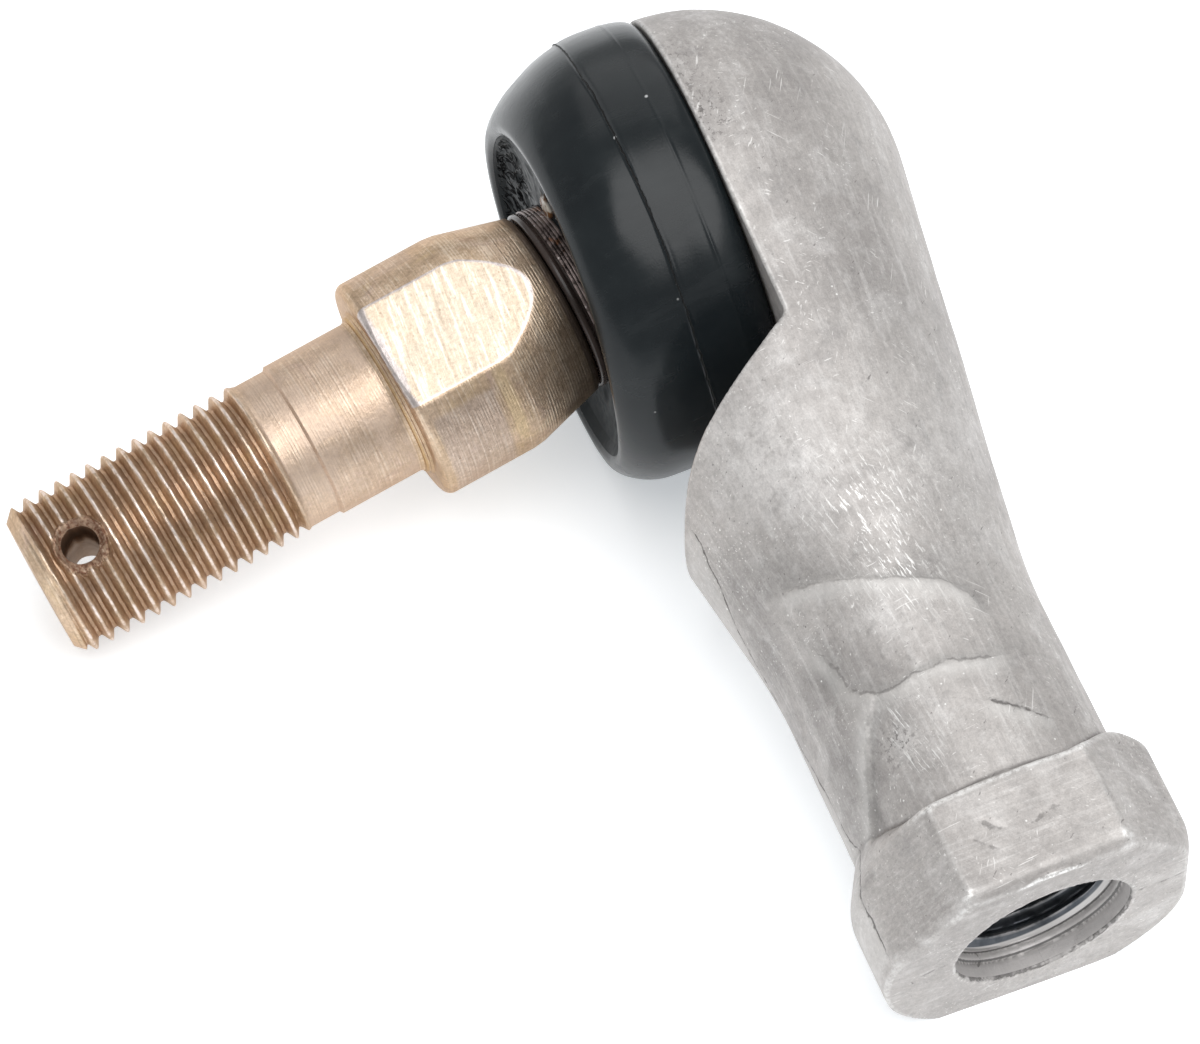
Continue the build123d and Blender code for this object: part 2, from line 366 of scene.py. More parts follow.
# Rough spots on the skin as (x, y, z, reach): pitted ones and shiny scraped ones
PITTED = [(-4.0, -0.8, 14.6, 3.4), (46.8, -4.5, 8.5, 1.5), (1.0, 1.4, 15.1, 2.0)]
SCRAPED = [
    (30.5, 0.6, 10.4, 4.2), (45.4, -3.6, 9.0, 1.6), (36.8, 0.4, 9.7, 2.4),
    (48.6, -3.4, 9.1, 1.6),
]
# Knocks on the collar: two on its top flat as (x, y), two on its end face as (y, z)
TOP_KNOCKS = (
    [(54.8, -1.85), (55.3, -1.55), (55.7, -0.9)], [(56.2, 1.0), (55.75, 2.1), (55.55, 3.2)],
    [(55.75, -3.0), (56.6, -2.15), (57.4, -1.0)],
)
END_KNOCKS = ([(-9.0, 1.3), (-7.5, 1.55), (-6.3, 1.1)], [(7.0, 0.2), (9.3, -0.1), (10.3, 0.0)])
# Hollows of the forging, which get painted shade, as (along, round, reach along, reach round)
HOLLOWS = [(40.4, -7.0, 1.7, 1.1), (49.6, -8.6, 2.6, 0.7)]
LIP = [(46.6, 1.6), (47.6, 3.6), (48.4, 4.6), (49.3, 6.4)]
# Broad lighter and darker patches of the skin as (along, round, reach, how much lighter or darker):
# partly the skin's own tone and partly painted light and shade, the darker ones mostly on the flank
# towards the stud and beside the laps
TONE_AND_SHADE = [
    (23.1, -4.6, 3.4, 0.8), (27.2, -3.3, 3.0, 1.0), (26.5, 9.0, 4.0, 0.6),
    (29.6, 5.0, 2.5, 0.4), (47.2, -4.2, 1.5, 0.7), (38.3, -1.6, 2.2, 0.5),
    (30.0, -10.5, 3.2, -1.0), (31.6, -7.4, 1.7, -0.8), (36.2, 3.2, 1.7, -0.8),
    (35.5, -11.5, 2.8, -1.0), (39.5, -8.9, 1.9, -0.9), (45.0, -9.6, 2.5, -1.0),
    (48.9, -10.9, 2.5, -1.0), (43.2, 5.4, 1.6, -0.5),
]
BORE_CRACK = [(58.75, -15.1), (58.4, -15.4), (57.7, -15.2)]


def housing_surface():
    """Points, outward normals and quads of the field's surface, drawn onto it exactly."""
    step = 0.22
    low = np.array([-16.2, -12.6, -16.2])
    high = np.array([60.8, 16.2, 16.2])
    n = np.ceil((high - low) / step).astype(int) + 1
    axes = [low[k] + step * np.arange(n[k]) for k in range(3)]
    field = np.empty(tuple(n), np.float32)
    slab = 24
    for i in range(0, n[0], slab):
        g = np.stack(np.meshgrid(axes[0][i : i + slab], axes[1], axes[2], indexing="ij"), -1)
        field[i : i + slab] = housing_field(g.astype(np.float32))
    points, quads = net(field, low, step)
    for _ in range(3):
        g = gradient(housing_field, points)
        pull = housing_field(points) / np.maximum((g * g).sum(1), 0.2)
        points = points - g * np.clip(pull, -step, step)[:, None]
    normal = gradient(housing_field, points)
    return points, normal / np.linalg.norm(normal, axis=1)[:, None], quads


def housing_edges(points):
    """How far each point lies on an outer edge and in an inner corner, from the field's
    mean over a small distance."""
    reach = 0.35
    mean = 0.0
    for k in range(3):
        e = np.zeros(3)
        e[k] = reach
        mean = mean + housing_field(points + e) + housing_field(points - e)
    curve = mean / reach
    return np.clip(curve * 0.9, 0, 1), np.clip(-curve * 0.9, 0, 1)


def build_housing():
    """The housing's skin, with its marks both as relief and as values for the material."""
    points, normal, quads = housing_surface()
    edge, crease = housing_edges(points)
    x, y, z = points.T
    turn = np.arctan2(y, z)
    around = np.hypot(y, z)
    outside = (around > 8) & (x > -20) & ~((np.hypot(x, z) < 12.6) & (y < 1))
    # Unrolled surface of the shank: along it, and round it from the +Z line
    u, v = x, turn * NECK_R
    before_collar = 1 - ramp(x, 50.9, 51.6)
    on_collar = ramp(x, 51.2, 52.4)
    shank = ramp(x, 24, 30) * before_collar * outside
    lift = np.zeros(len(points))
    pale = np.zeros(len(points))
    shade = np.zeros(len(points))
    marks = {}

    def lap(name, path, height, width, ends=0.14, spread=0.0, painted_shade=0.0):
        """A forging lap: the far side of the path (to its right) stands height above a trough on
        its left, which rises back over width. The raised side beside the line gets a painted
        highlight and the trough painted shade. Its line is kept as a distance, which counts for
        less towards the path's end when the line spreads."""
        nonlocal lift, pale, shade
        d, side, along = path_field(u, v, path)
        fade = ramp(along, 0, ends) * (1 - ramp(along, 1 - ends, 1)) * shank
        s = d * side + 0.12 * noise(points, 0.9, 2.0)

        def falling(sign, start, reach):
            return ramp(sign * s, start, 0.2) * np.exp(-np.maximum(sign * s, 0) / reach)

        lift += height * fade * falling(-1, -0.2, 2.5 * width)
        lift -= 0.8 * height * fade * falling(1, -0.2, width)
        # Painted highlight on the raised side just beside the line
        pale = np.maximum(pale, fade * bell(s + 0.5, 0.7))
        # Painted shade on the trough side of the line, fading away from it
        shade = np.maximum(shade, painted_shade * fade * falling(1, -0.1, 0.7 * width))
        s = s / (1 + spread * along)
        marks[name] = np.clip(s + np.sign(s) * 4 * (1 - fade), -4, 4)

    lap("brow", BROW, 0.10, 2.4, painted_shade=1.0)
    lap("fold", FOLD, 0.08, 1.1, painted_shade=0.9)
    lap("seam", CREASE, 0.12, 1.3, 0.03, spread=2.0, painted_shade=0.9)
    lap("lip", LIP, 0.08, 0.5, painted_shade=0.5)

    # Parting line of the forging along the stud side of the shank
    land = 4.7 - 4.7 * ramp(x, 24.5, 37) + 1.7 * ramp(x, 37, 48) + 2.7 * ramp(x, 48, 54)
    wander = 0.15 * noise(points, 1.3) + 0.08 * noise(points, 0.5, 3.1)
    at = z - land - wander
    on = (y < -6) * ramp(x, 24.2, 25.2) * (1 - ramp(x, 58.6, 59.4))
    lift -= 0.06 * on * bell(at, 0.2)
    marks["flash"] = np.clip(at + np.sign(at) * 4 * (1 - on), -4, 4)
    # The skin below the parting line is made paler
    pale = np.maximum(pale, 0.7 * on * ramp(-at, 0, 0.4))

    def spots(places):
        near = (bell(np.linalg.norm(points - place[:3], axis=1), place[3]) for place in places)
        return np.clip(sum(near), 0, 1) * outside

    knock = np.full(len(points), 4.0)
    on_top = (x > 52.5) & (z > 8)
    on_end = x > END_X - 0.3
    for paths, (a, b), near in ((TOP_KNOCKS, (x, y), on_top), (END_KNOCKS, (y, z), on_end)):
        for path in paths:
            d = path_field(a, b, path)[0] + 0.08 * noise(points, 0.5, 4.0)
            knock = np.where(near, np.minimum(knock, np.abs(d)), knock)
    marks["knock"] = knock
    # Broad patches of painted light and shade, partly the skin's own tone
    tone_and_shade = sum(n * bell(np.hypot(u - a, v - b), reach) for a, b, reach, n in TONE_AND_SHADE)
    marks["tone_and_shade"] = np.clip(tone_and_shade, -1, 1) * (x > 15) * before_collar * outside
    lift -= 0.07 * bell(knock, 0.25)
    hollow_and_shade = sum(bell(u - a, c) * bell(v - b, d) for a, b, c, d in HOLLOWS)
    hollow_and_shade = np.clip(hollow_and_shade, 0, 1) * shank
    lift -= 0.10 * hollow_and_shade
    lift += 0.05 * spots(SCRAPED) * fractal(points, 0.9, 2, 7.7)
    marks["pitted"] = spots(PITTED)
    marks["scraped"] = spots(SCRAPED)
    # Painted shade in the forging's hollows and on the trough side of the laps
    marks["hollow_and_shade"] = np.maximum(hollow_and_shade, shade)
    marks["collar"] = on_collar * outside
    marks["shank"] = ramp(x, 16, 30) * (1 - 0.6 * on_collar)
    marks["bore"] = np.where((around < 7.2) & (x > 50) & (x < END_X - 0.02), x, 0)
    rim = (around - COUNTERBORE_R + 0.08 * noise(points, 0.6, 8.0)) * np.where(z < 1.5, 1, 9)
    rim = np.where(x > END_X - 0.5, np.clip(rim, -4, 4), 4)
    crack = path_field(x, turn * COUNTERBORE_R, BORE_CRACK)[0]
    cracked = (marks["bore"] > COUNTERBORE_END - 0.3) & (crack < np.abs(rim))
    marks["rim"] = np.where(cracked, crack, rim)
    edge = np.where(marks["bore"] > 50, 0, edge)
    marks["topside"] = ramp(z, 7.5, 8.5) * (1 - ramp(np.abs(y + 0.5), 6.5, 8.0)) * (x > 51)

    skin = outside * (1 - ramp(x, 51.0, 52.5) * 0.6)
    lift += skin * (0.07 * fractal(points, 7.0, 2, 1.3) + 0.02 * fractal(points, 1.6, 2, 5.2))
    points = points + normal * lift[:, None]
    marks.update(edge=edge, crease=crease, pale=np.clip(pale, 0, 1))
    return make_mesh("housing_casting", points, quads.tolist(), layers=marks)


# ---- Turned and threaded shapes
def thread_depth(phase, sharpness=0.82):
    """Depth of a 60 degree thread from 0 at the crest to 1 at the root."""
    a = np.abs(phase - np.floor(phase) - 0.5) * 2
    return ramp(a, 0.06, sharpness) * 0.35 + np.clip((a - 0.12) / (sharpness - 0.12), 0, 1) * 0.65


RIM_ROWS = 10  # rows in the rounding of the stud collar's end
FACE_R = 6.62  # where that end's face meets the fillet
FLATS_START = 12.9  # station where the stud's wrench flats begin


def resample(profile, steps):
    """Points along a profile of (station, radius), each leg cut at its own step."""
    rows = [np.array(profile[:1])]
    for a, b, step in zip(profile, profile[1:], steps):
        n = max(1, round(math.dist(a, b) / step))
        rows.append(a + np.subtract(b, a) * np.arange(1, n + 1)[:, None] / n)
    return np.concatenate(rows)


def stud_body(theta):
    """Rows of the ball, neck and collar: stations, radii, and how far each point would stand
    out over the collar's two wrench flats."""
    ball = [
        (-BALL_R * math.cos(t), BALL_R * math.sin(t))
        for t in np.linspace(0.03, math.pi - math.asin(4.95 / BALL_R), 48)
    ]
    profile = ball + [(8.35, 4.8), (9.0, 4.95), (9.6, 5.1), (10.0, 5.7), (12.05, 5.7)]
    profile += [(12.15, 5.8), (12.25, 6.75), (12.45, 7.0)]
    steps = [9.0] * (len(ball) - 1) + [0.3] * 5 + [0.1, 0.3, 0.15]
    profile += [(COLLAR_FULL - 0.5, COLLAR_R - 0.1), (COLLAR_FULL + 0.4, COLLAR_R)]
    profile += [(COLLAR_END - 0.7, COLLAR_R)]
    steps += [0.12, 0.12, 0.14]
    body = resample(profile, steps)
    s, r = (round_grid(column, len(theta)) for column in body.T)
    flats = COLLAR_FLATS / 2 / np.maximum(np.abs(np.cos(theta)), 0.5)
    reached = s > FLATS_START
    over = np.where(reached, r - flats, -1.0)
    return s, np.where(reached, smooth_min(r, flats * np.ones_like(s), 0.06), r), over


def stud_rim(outer):
    """Rows that round the collar's end over from its outer radii, then run its face in."""
    size = 0.32 + 0.38 * np.clip(outer - COLLAR_FLATS / 2, 0, 1)
    turn = np.linspace(0.1, 1, RIM_ROWS)[:, None] * math.pi / 2
    s = COLLAR_END - size + size * np.sin(turn)
    r = outer - size * (1 - np.cos(turn))
    share_in = np.array([0.3, 0.6, 0.85])[:, None]
    face = r[-1] + (FACE_R - r[-1]) * share_in
    return np.concatenate([s, np.full_like(face, COLLAR_END)]), np.concatenate([r, face])


def stud_tail(theta, fine):
    """Rows from the collar's face to the tip, with the thread's turns wound into them."""
    tail = [
        (COLLAR_END, FACE_R), (COLLAR_END + 0.16, 6.5), (COLLAR_END + 0.2, 6.36),
        (COLLAR_END + 0.42, 6.22), (COLLAR_END + 0.46, 6.06), (COLLAR_END + 0.75, SHOULDER_R),
        (SHOULDER_END - 0.15, SHOULDER_R), (SHOULDER_END + 0.05, RELIEF_R),
        (THREAD_START - 0.2, RELIEF_R), (THREAD_START + 0.1, RELIEF_R + 0.02),
        (THREAD_END + 0.15, THREAD_R), (STUD_END, 4.95), (STUD_END, 0.02),
    ]
    steps = [0.08, 0.08, 0.08, 0.08, 0.08, 0.4, 0.1, 0.4, 0.1, fine, 0.09, 0.4]
    s, r = (round_grid(column, len(theta)) for column in resample(tail, steps).T)
    depth = 0.74 * thread_depth(s / PITCH - theta / (2 * math.pi))
    grown = ramp(s, THREAD_START - 0.1, THREAD_START + 0.9)
    crest = np.minimum(THREAD_R, r + (s < THREAD_END - 0.4) * 1.0)
    runout = RELIEF_R + (THREAD_R - RELIEF_R) * ramp(s, THREAD_START - 0.1, THREAD_START + 0.3)
    crest = np.where(s < THREAD_START + 0.3, np.minimum(crest, runout), crest)
    winding = crest - depth * grown
    winding = np.minimum(winding, np.where(s > THREAD_END - 0.3, r, np.inf))
    fading = 1 - ramp(s, THREAD_END + 0.1, THREAD_END + 0.5)
    winding = np.where(s > THREAD_END + 0.2, np.minimum(r, crest - depth * fading), winding)
    return s, np.where((s > THREAD_START - 0.3) & (r > 4.9), winding, r)


def cotter_burr(s, r, roll):
    """The radii with a countersink and a ragged burr at both ends of the cotter hole, and
    how much of each point belongs to them."""
    burr = np.zeros_like(r)
    for sign in (1, -1):
        across = r * np.sin(roll - COTTER_ROLL + COLLAR_ROLL) * sign
        front = np.cos(roll - COTTER_ROLL + COLLAR_ROLL) * sign > 0
        around = np.hypot(s - COTTER_S, across)
        angle = np.arctan2(across, s - COTTER_S)
        ragged = ring_noise(angle, 2.2, 0.8, 11.0 * sign, around * 0.6)
        near = front * (1 - ramp(around, 1.8 + 0.22 * ragged, 2.15 + 0.28 * ragged))
        lip = 5.55 + 0.2 * bell(around - 1.8 - 0.2 * ragged, 0.18) + 0.05 * ragged
        lip = lip - 0.7 * np.maximum(1.65 - around, 0)
        r = np.where(near > 0, r * (1 - near) + np.minimum(lip, THREAD_R) * near, r)
        burr = np.maximum(burr, near)
    return r, burr


def build_stud():
    """The whole stud as one turned grid, bored through for the cotter pin."""
    turns = 288
    theta = 2 * math.pi * np.arange(turns) / turns
    body_s, body_r, over = stud_body(theta)
    rim_s, rim_r = stud_rim(body_r[-1])
    tail_s, tail_r = stud_tail(theta, 0.055)
    s = np.concatenate([body_s, rim_s, tail_s])
    r = np.concatenate([body_r, rim_r, tail_r])
    rows = len(s)
    roll = np.tile(theta, (rows, 1))
    # Nicks on the thread's crests
    rough = fractal(np.stack([s, roll * 6, np.zeros_like(s)], -1), (0.5, 1.4, 1), 2)
    threads = (s > THREAD_START + 0.3) & (s < THREAD_END) & (r > RELIEF_R)
    r = r - np.where(threads, 0.035 * np.maximum(rough, 0), 0)
    r, burr = cotter_burr(s, r, roll)

    direction = (
        np.cos(roll + COLLAR_ROLL)[..., None] * UP
        - np.sin(roll + COLLAR_ROLL)[..., None] * STUD_SIDE
    )
    points = s[..., None] * STUD_DIR + r[..., None] * direction
    faces = grid_faces(rows, turns)
    points = points.reshape(-1, 3)
    poles = np.array([-BALL_R * STUD_DIR, STUD_END * STUD_DIR])
    first, last = len(points), len(points) + 1
    points = np.concatenate([points, poles])
    faces += [(first, (j + 1) % turns, j) for j in range(turns)]
    base = (rows - 1) * turns
    faces += [(last, base + j, base + (j + 1) % turns) for j in range(turns)]

    over = np.concatenate([over, np.full((rows - len(over), turns), -1.0)])
    over[len(body_s) : len(body_s) + RIM_ROWS] = over[len(body_s) - 1]
    across_flat = np.degrees((roll + math.pi) % (2 * math.pi) - math.pi)
    layers = {
        "roll": np.r_[across_flat.ravel(), 0, 0],
        "station": np.r_[s.ravel(), -BALL_R, STUD_END],
        "radius": np.r_[r.ravel(), 0, 0],
        "over": np.r_[np.clip(over, -1, 1).ravel(), -1, -1],
        "burr": np.r_[burr.ravel(), 0, 0],
    }
    made = make_mesh("ball_stud_steel", points, faces, sharp=28, layers=layers)
    cutter_points, cutter_faces = tube_points(
        COTTER_S * STUD_DIR,
        math.cos(COTTER_ROLL) * UP - math.sin(COTTER_ROLL) * STUD_SIDE,
        COTTER_R - 0.15,  # the burr narrows it
        16.0,
        64,
    )
    cutter = make_mesh("cotter_cutter", cutter_points, cutter_faces, sharp=30)
    cut = made.modifiers.new("cotter", "BOOLEAN")
    cut.operation = "DIFFERENCE"
    cut.solver = "EXACT"
    cut.object = cutter
    apply_modifiers(made)
    bpy.data.objects.remove(cutter)
    return made


def tube_points(centre, axis, radius, length, sides):
    """A closed round bar."""
    axis = np.asarray(axis, float)
    a = np.cross(axis, STUD_DIR)
    a /= np.linalg.norm(a)
    b = np.cross(axis, a)
    t = 2 * math.pi * np.arange(sides) / sides
    ring = radius * (np.cos(t)[:, None] * a + np.sin(t)[:, None] * b)
    points = np.concatenate([centre - axis * length / 2 + ring, centre + axis * length / 2 + ring])
    faces = [(j, (j + 1) % sides, sides + (j + 1) % sides, sides + j) for j in range(sides)]
    faces += [tuple(range(sides))[::-1], tuple(range(sides, 2 * sides))]
    return points, faces


def apply_modifiers(made):
    """Put the evaluated mesh in place of the object's own, without its modifiers."""
    graph = bpy.context.evaluated_depsgraph_get()
    graph.update()
    mesh = bpy.data.meshes.new_from_object(made.evaluated_get(graph))
    made.modifiers.clear()
    old = made.data
    made.data = mesh
    bpy.data.meshes.remove(old)


def build_tapped_thread():
    """The housing's internal thread as a closed liner that beds into the bore."""
    turns = 200
    fine = 0.07
    theta = 2 * math.pi * np.arange(turns) / turns
    start, end = COUNTERBORE_END - 0.02, BORE_END + 1.2
    x = round_grid(np.arange(start, end, -fine), turns)
    phase = x / PITCH - theta[None, :] / (2 * math.pi)
    depth = 0.62 * (1 - thread_depth(phase, 0.9))
    mouth = np.maximum(x - (start - 0.55), 0)
    r = np.maximum(TAP_MINOR_R + depth, TAP_MINOR_R + 1.15 * mouth)
    r = np.minimum(r, BORE_R - 0.03)
    s = np.concatenate([x[:1], x, x[-1:]])
    outer = np.full((1, turns), BORE_R + 0.06)
    r = np.concatenate([outer, r, outer])
    points = np.stack([s, r * np.cos(theta), r * np.sin(theta)], -1).reshape(-1, 3)
    faces = grid_faces(len(s), turns, close_rows=True)
    layers = {"radius": r.ravel(), "station": s.ravel()}
    return make_mesh("tapped_thread", points, faces, sharp=35, layers=layers)


# ---- Boot
BOOT_TOP = 11.86  # mean height of the rolled front
BOOT_THICK = 1.2  # its rubber
RIDGE = 4.9  # mean height of the parting ridge, and below it that of a fainter one
FAINT_RIDGE = 1.6
LIP_S = 10.2  # station on the stud, and radius, where the funnel ends under the clip
LIP_R = 6.35


def boot_front(alpha):
    """Height of the rolled front round the boot, from +X: it tilts away from +Z."""
    return BOOT_TOP - 1.07 * np.sin(alpha) + 0.19 * np.cos(2 * alpha)


def bent(h, r, alpha):
    """A point of the boot at height h and radius r round the socket axis, drawn along with
    the leaning stud as h rises."""
    follow = ramp(h, 3.0, 11.0)
    centre = follow * 1.2
    x = centre + r * np.cos(alpha)
    z = r * np.sin(alpha)
    return np.stack([x, -h, z], -1)


def ring_solid(name, rows, layers=None, sharp=None):
    """Closed ring from a grid of points whose rows run round a closed section."""
    faces = grid_faces(*rows.shape[:2], close_rows=True)
    return make_mesh(name, rows.reshape(-1, 3), faces, sharp=sharp, layers=layers)


def smooth_path(points, count):
    """Catmull-Rom curve through points, resampled evenly."""
    p = np.asarray(points, float)
    p = np.concatenate([[2 * p[0] - p[1]], p, [2 * p[-1] - p[-2]]])
    out = []
    for k in range(1, len(p) - 2):
        for t in np.linspace(0, 1, 24, endpoint=False):
            a, b, c, d = p[k - 1 : k + 3]
            bend, twist = 2 * a - 5 * b + 4 * c - d, 3 * b - a - 3 * c + d
            out.append(0.5 * (2 * b + (c - a) * t + bend * t**2 + twist * t**3))
    out.append(p[-2])
    out = np.array(out)
    at = np.r_[0, np.cumsum(np.hypot(*np.diff(out, axis=0).T))]
    want = np.linspace(0, at[-1], count)
    return np.stack([np.interp(want, at, out[:, k]) for k in range(2)], -1)


def offset_path(path, distance):
    """The path moved to its left by distance."""
    t = np.gradient(path, axis=0)
    t /= np.linalg.norm(t, axis=1)[:, None]
    return path + distance * np.stack([-t[:, 1], t[:, 0]], -1)


SEAM = 0.28  # how far inside the mouth, below its crest, the wall meets the funnel


def gathering(a):
    """The quarter of the mouth, far from the shank, where the rubber is gathered."""
    return ramp(a, 2.5, 2.9) * (1 - ramp(a, 3.9, 4.4))


def build_boot():
    """The boot's wall, a closed ring of rubber, and the funnel that hangs in its mouth."""
    turns = 360
    alpha = 2 * math.pi * np.arange(turns) / turns
    count = 230
    top = BOOT_TOP
    outer = smooth_path(
        [
            (-0.85, 14.3), (-0.75, 14.9), (-0.2, 15.5), (1.2, 15.85), (3.2, 15.95),
            (5.2, 15.95), (7.0, 15.78), (8.6, 15.38), (10.0, 14.8), (11.1, 14.1),
            (top - 0.12, 13.4), (top, 12.9), (top - 0.15, 12.4), (top - 0.9, 11.6),
        ],
        count,
    )
    # The funnel takes over just inside the crest of the mouth
    cut = int(np.argmax((outer[:, 0] < top - SEAM) & (outer[:, 1] < 12.8)))
    section = np.concatenate([outer, offset_path(outer, -BOOT_THICK)[cut::-3]])
    h, r = (round_grid(column, turns) for column in section.T)
    a = np.tile(alpha, (len(section), 1))
    share = round_grid(np.arange(len(section)) / count, turns)
    on_skin = (share < 1) * 1.0
    # The front follows the saddle; the base stays flat on its flange
    rise = ramp(h, 5.5, top) * (boot_front(alpha) - top)[None, :]
    h = h + rise
    wave = fractal(np.stack([r * np.cos(a), r * np.sin(a), h], -1), 6.0, 2, 2.2)
    r = r + 0.06 * wave * on_skin
    # Parting ridge and a second, fainter one nearer the base
    line = RIDGE + 0.12 * np.sin(3 * a + 0.6) + 0.06 * ring_noise(a, 6, 0.8)
    ragged = 0.6 + 0.4 * ring_noise(a, 16, 0.7, 4.0)
    skin = on_skin * (r > 14)
    r = r + skin * (0.08 * ragged * bell(h - line, 0.09) - 0.02 * bell(h - line + 0.25, 0.16))
    step = ramp(h, line - 0.1, line + 0.2)
    r = r - skin * 0.10 * step * (1 - ramp(h, 8, 10))
    faint = FAINT_RIDGE + 0.08 * np.sin(2 * a + 1.0)
    r = r + skin * 0.035 * bell(h - faint, 0.12)
    points = bent(h, r, a)
    # The mouth's inner side is gathered into wrinkles
    gathered = gathering(a) * ramp(share, 0.955, 0.975) * on_skin
    seam = np.where(skin > 0, np.clip(h - line, -2, 2), 2.0)
    kept = np.r_[: cut + 1, count : len(section)]
    layers = {"seam": seam[kept].ravel(), "gathered": gathered[kept].ravel()}
    wall = ring_solid("boot_wall", points[kept], layers)
    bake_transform(wall)
    return wall, build_funnel(alpha, points[cut:count], gathered[cut:count])


def build_funnel(alpha, brink, gathered):
    """The sheet from the wall's last rows, just inside the mouth, to the lip on the stud."""
    turns = len(alpha)
    n = 110
    t = round_grid(np.linspace(0, 1, n)[1:], turns)
    a = np.tile(alpha, (n - 1, 1))
    mouth = brink[-1]
    # The lip dips where it would stand as high as the mouth, so that MOUTH_OUT parts them
    lip_s = LIP_S - 0.15 * np.cos(alpha - 2.543)
    lip = stud_ring(lip_s, np.full(turns, LIP_R), alpha)
    sheet = mouth[None] * (1 - t[..., None]) + lip[None] * t[..., None]
    sag = (4 * t * (1 - t))[..., None]
    inward = np.array([0.0, 1.0, 0.0])
    sheet = sheet + sag * inward * 0.15
    crumple = fractal(sheet, (1.3, 0.9, 1.0), 3, 6.1)
    quarter = gathering(a)
    crumple = crumple * (0.15 + 0.35 * quarter)
    sheet = sheet - sag * crumple[..., None] * inward
    # A smear of grease sits beside the clip
    blob = fractal(sheet, 0.7, 2, 3.3)
    grease = bell(t - 0.78, 0.15) * bell(a - 2.08, 0.17)
    grease = ramp(grease + 0.35 * blob, 0.35, 0.6)
    sheet = sheet + (grease * (0.2 + 0.1 * blob))[..., None] * STUD_DIR
    layers = {
        "gathered": np.concatenate([gathered, quarter * (1 - grease)]).ravel(),
        "grease": np.concatenate([0 * gathered, grease]).ravel(),
    }
    rows = np.concatenate([brink, sheet])
    faces = grid_faces(*rows.shape[:2])
    funnel = make_mesh("boot_funnel", rows.reshape(-1, 3), faces, layers=layers)
    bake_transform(funnel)
    return funnel


def stud_ring(s, r, alpha):
    """Points at station s and radius r of the stud, alpha round it from STUD_SIDE."""
    return s[..., None] * STUD_DIR + r[..., None] * (
        np.cos(alpha)[..., None] * STUD_SIDE + np.sin(alpha)[..., None] * UP
    )


WIRE_TURNS = 5.0
WIRE_HALF = (0.15, 0.13)  # half the wire's width along the stud, and half its thickness


def build_clip():
    """The lip's ribbed cuff around the stud, and the flat wire wound over it."""
    turns = 240
    alpha = 2 * math.pi * np.arange(turns) / turns
    cuff = resample(
        [
            (9.75, 5.76), (9.7, 6.5), (10.2, 6.7), (11.5, 6.7), (11.56, 6.9), (11.7, 7.0),
            (12.0, 6.97), (12.12, 6.85), (12.14, 5.76),
        ],
        [0.15, 0.15, 0.12, 0.06, 0.06, 0.1, 0.06, 0.15],
    )
    s, r = (round_grid(column, turns) for column in cuff.T)
    cuff = ring_solid("boot_cuff", stud_ring(s, r, np.tile(alpha, (len(cuff), 1))))
    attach(cuff, "boot_clip")

    # Windings of flat wire, wider towards the collar
    n = 900
    sides = 14
    t = np.linspace(0, 1, n)
    spin = 2 * math.pi * WIRE_TURNS * t
    centre_s = 10.05 + 1.35 * t
    centre_r = 6.66 + 0.2 * t
    angle = 2 * math.pi * np.arange(sides) / sides
    ds, dr = (
        half * np.sign(turned) * np.abs(turned) ** 0.6
        for half, turned in zip(WIRE_HALF, (np.cos(angle), np.sin(angle)))
    )
    s = centre_s[:, None] + ds
    points = stud_ring(s, centre_r[:, None] + dr, round_grid(spin, sides))
    faces = grid_faces(n, sides)
    faces += [tuple(range(sides))[::-1], tuple(range((n - 1) * sides, n * sides))]
    wire = make_mesh("clip_wire", points.reshape(-1, 3), faces, sharp=40)
    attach(wire, "boot_clip")
    return cuff, wire


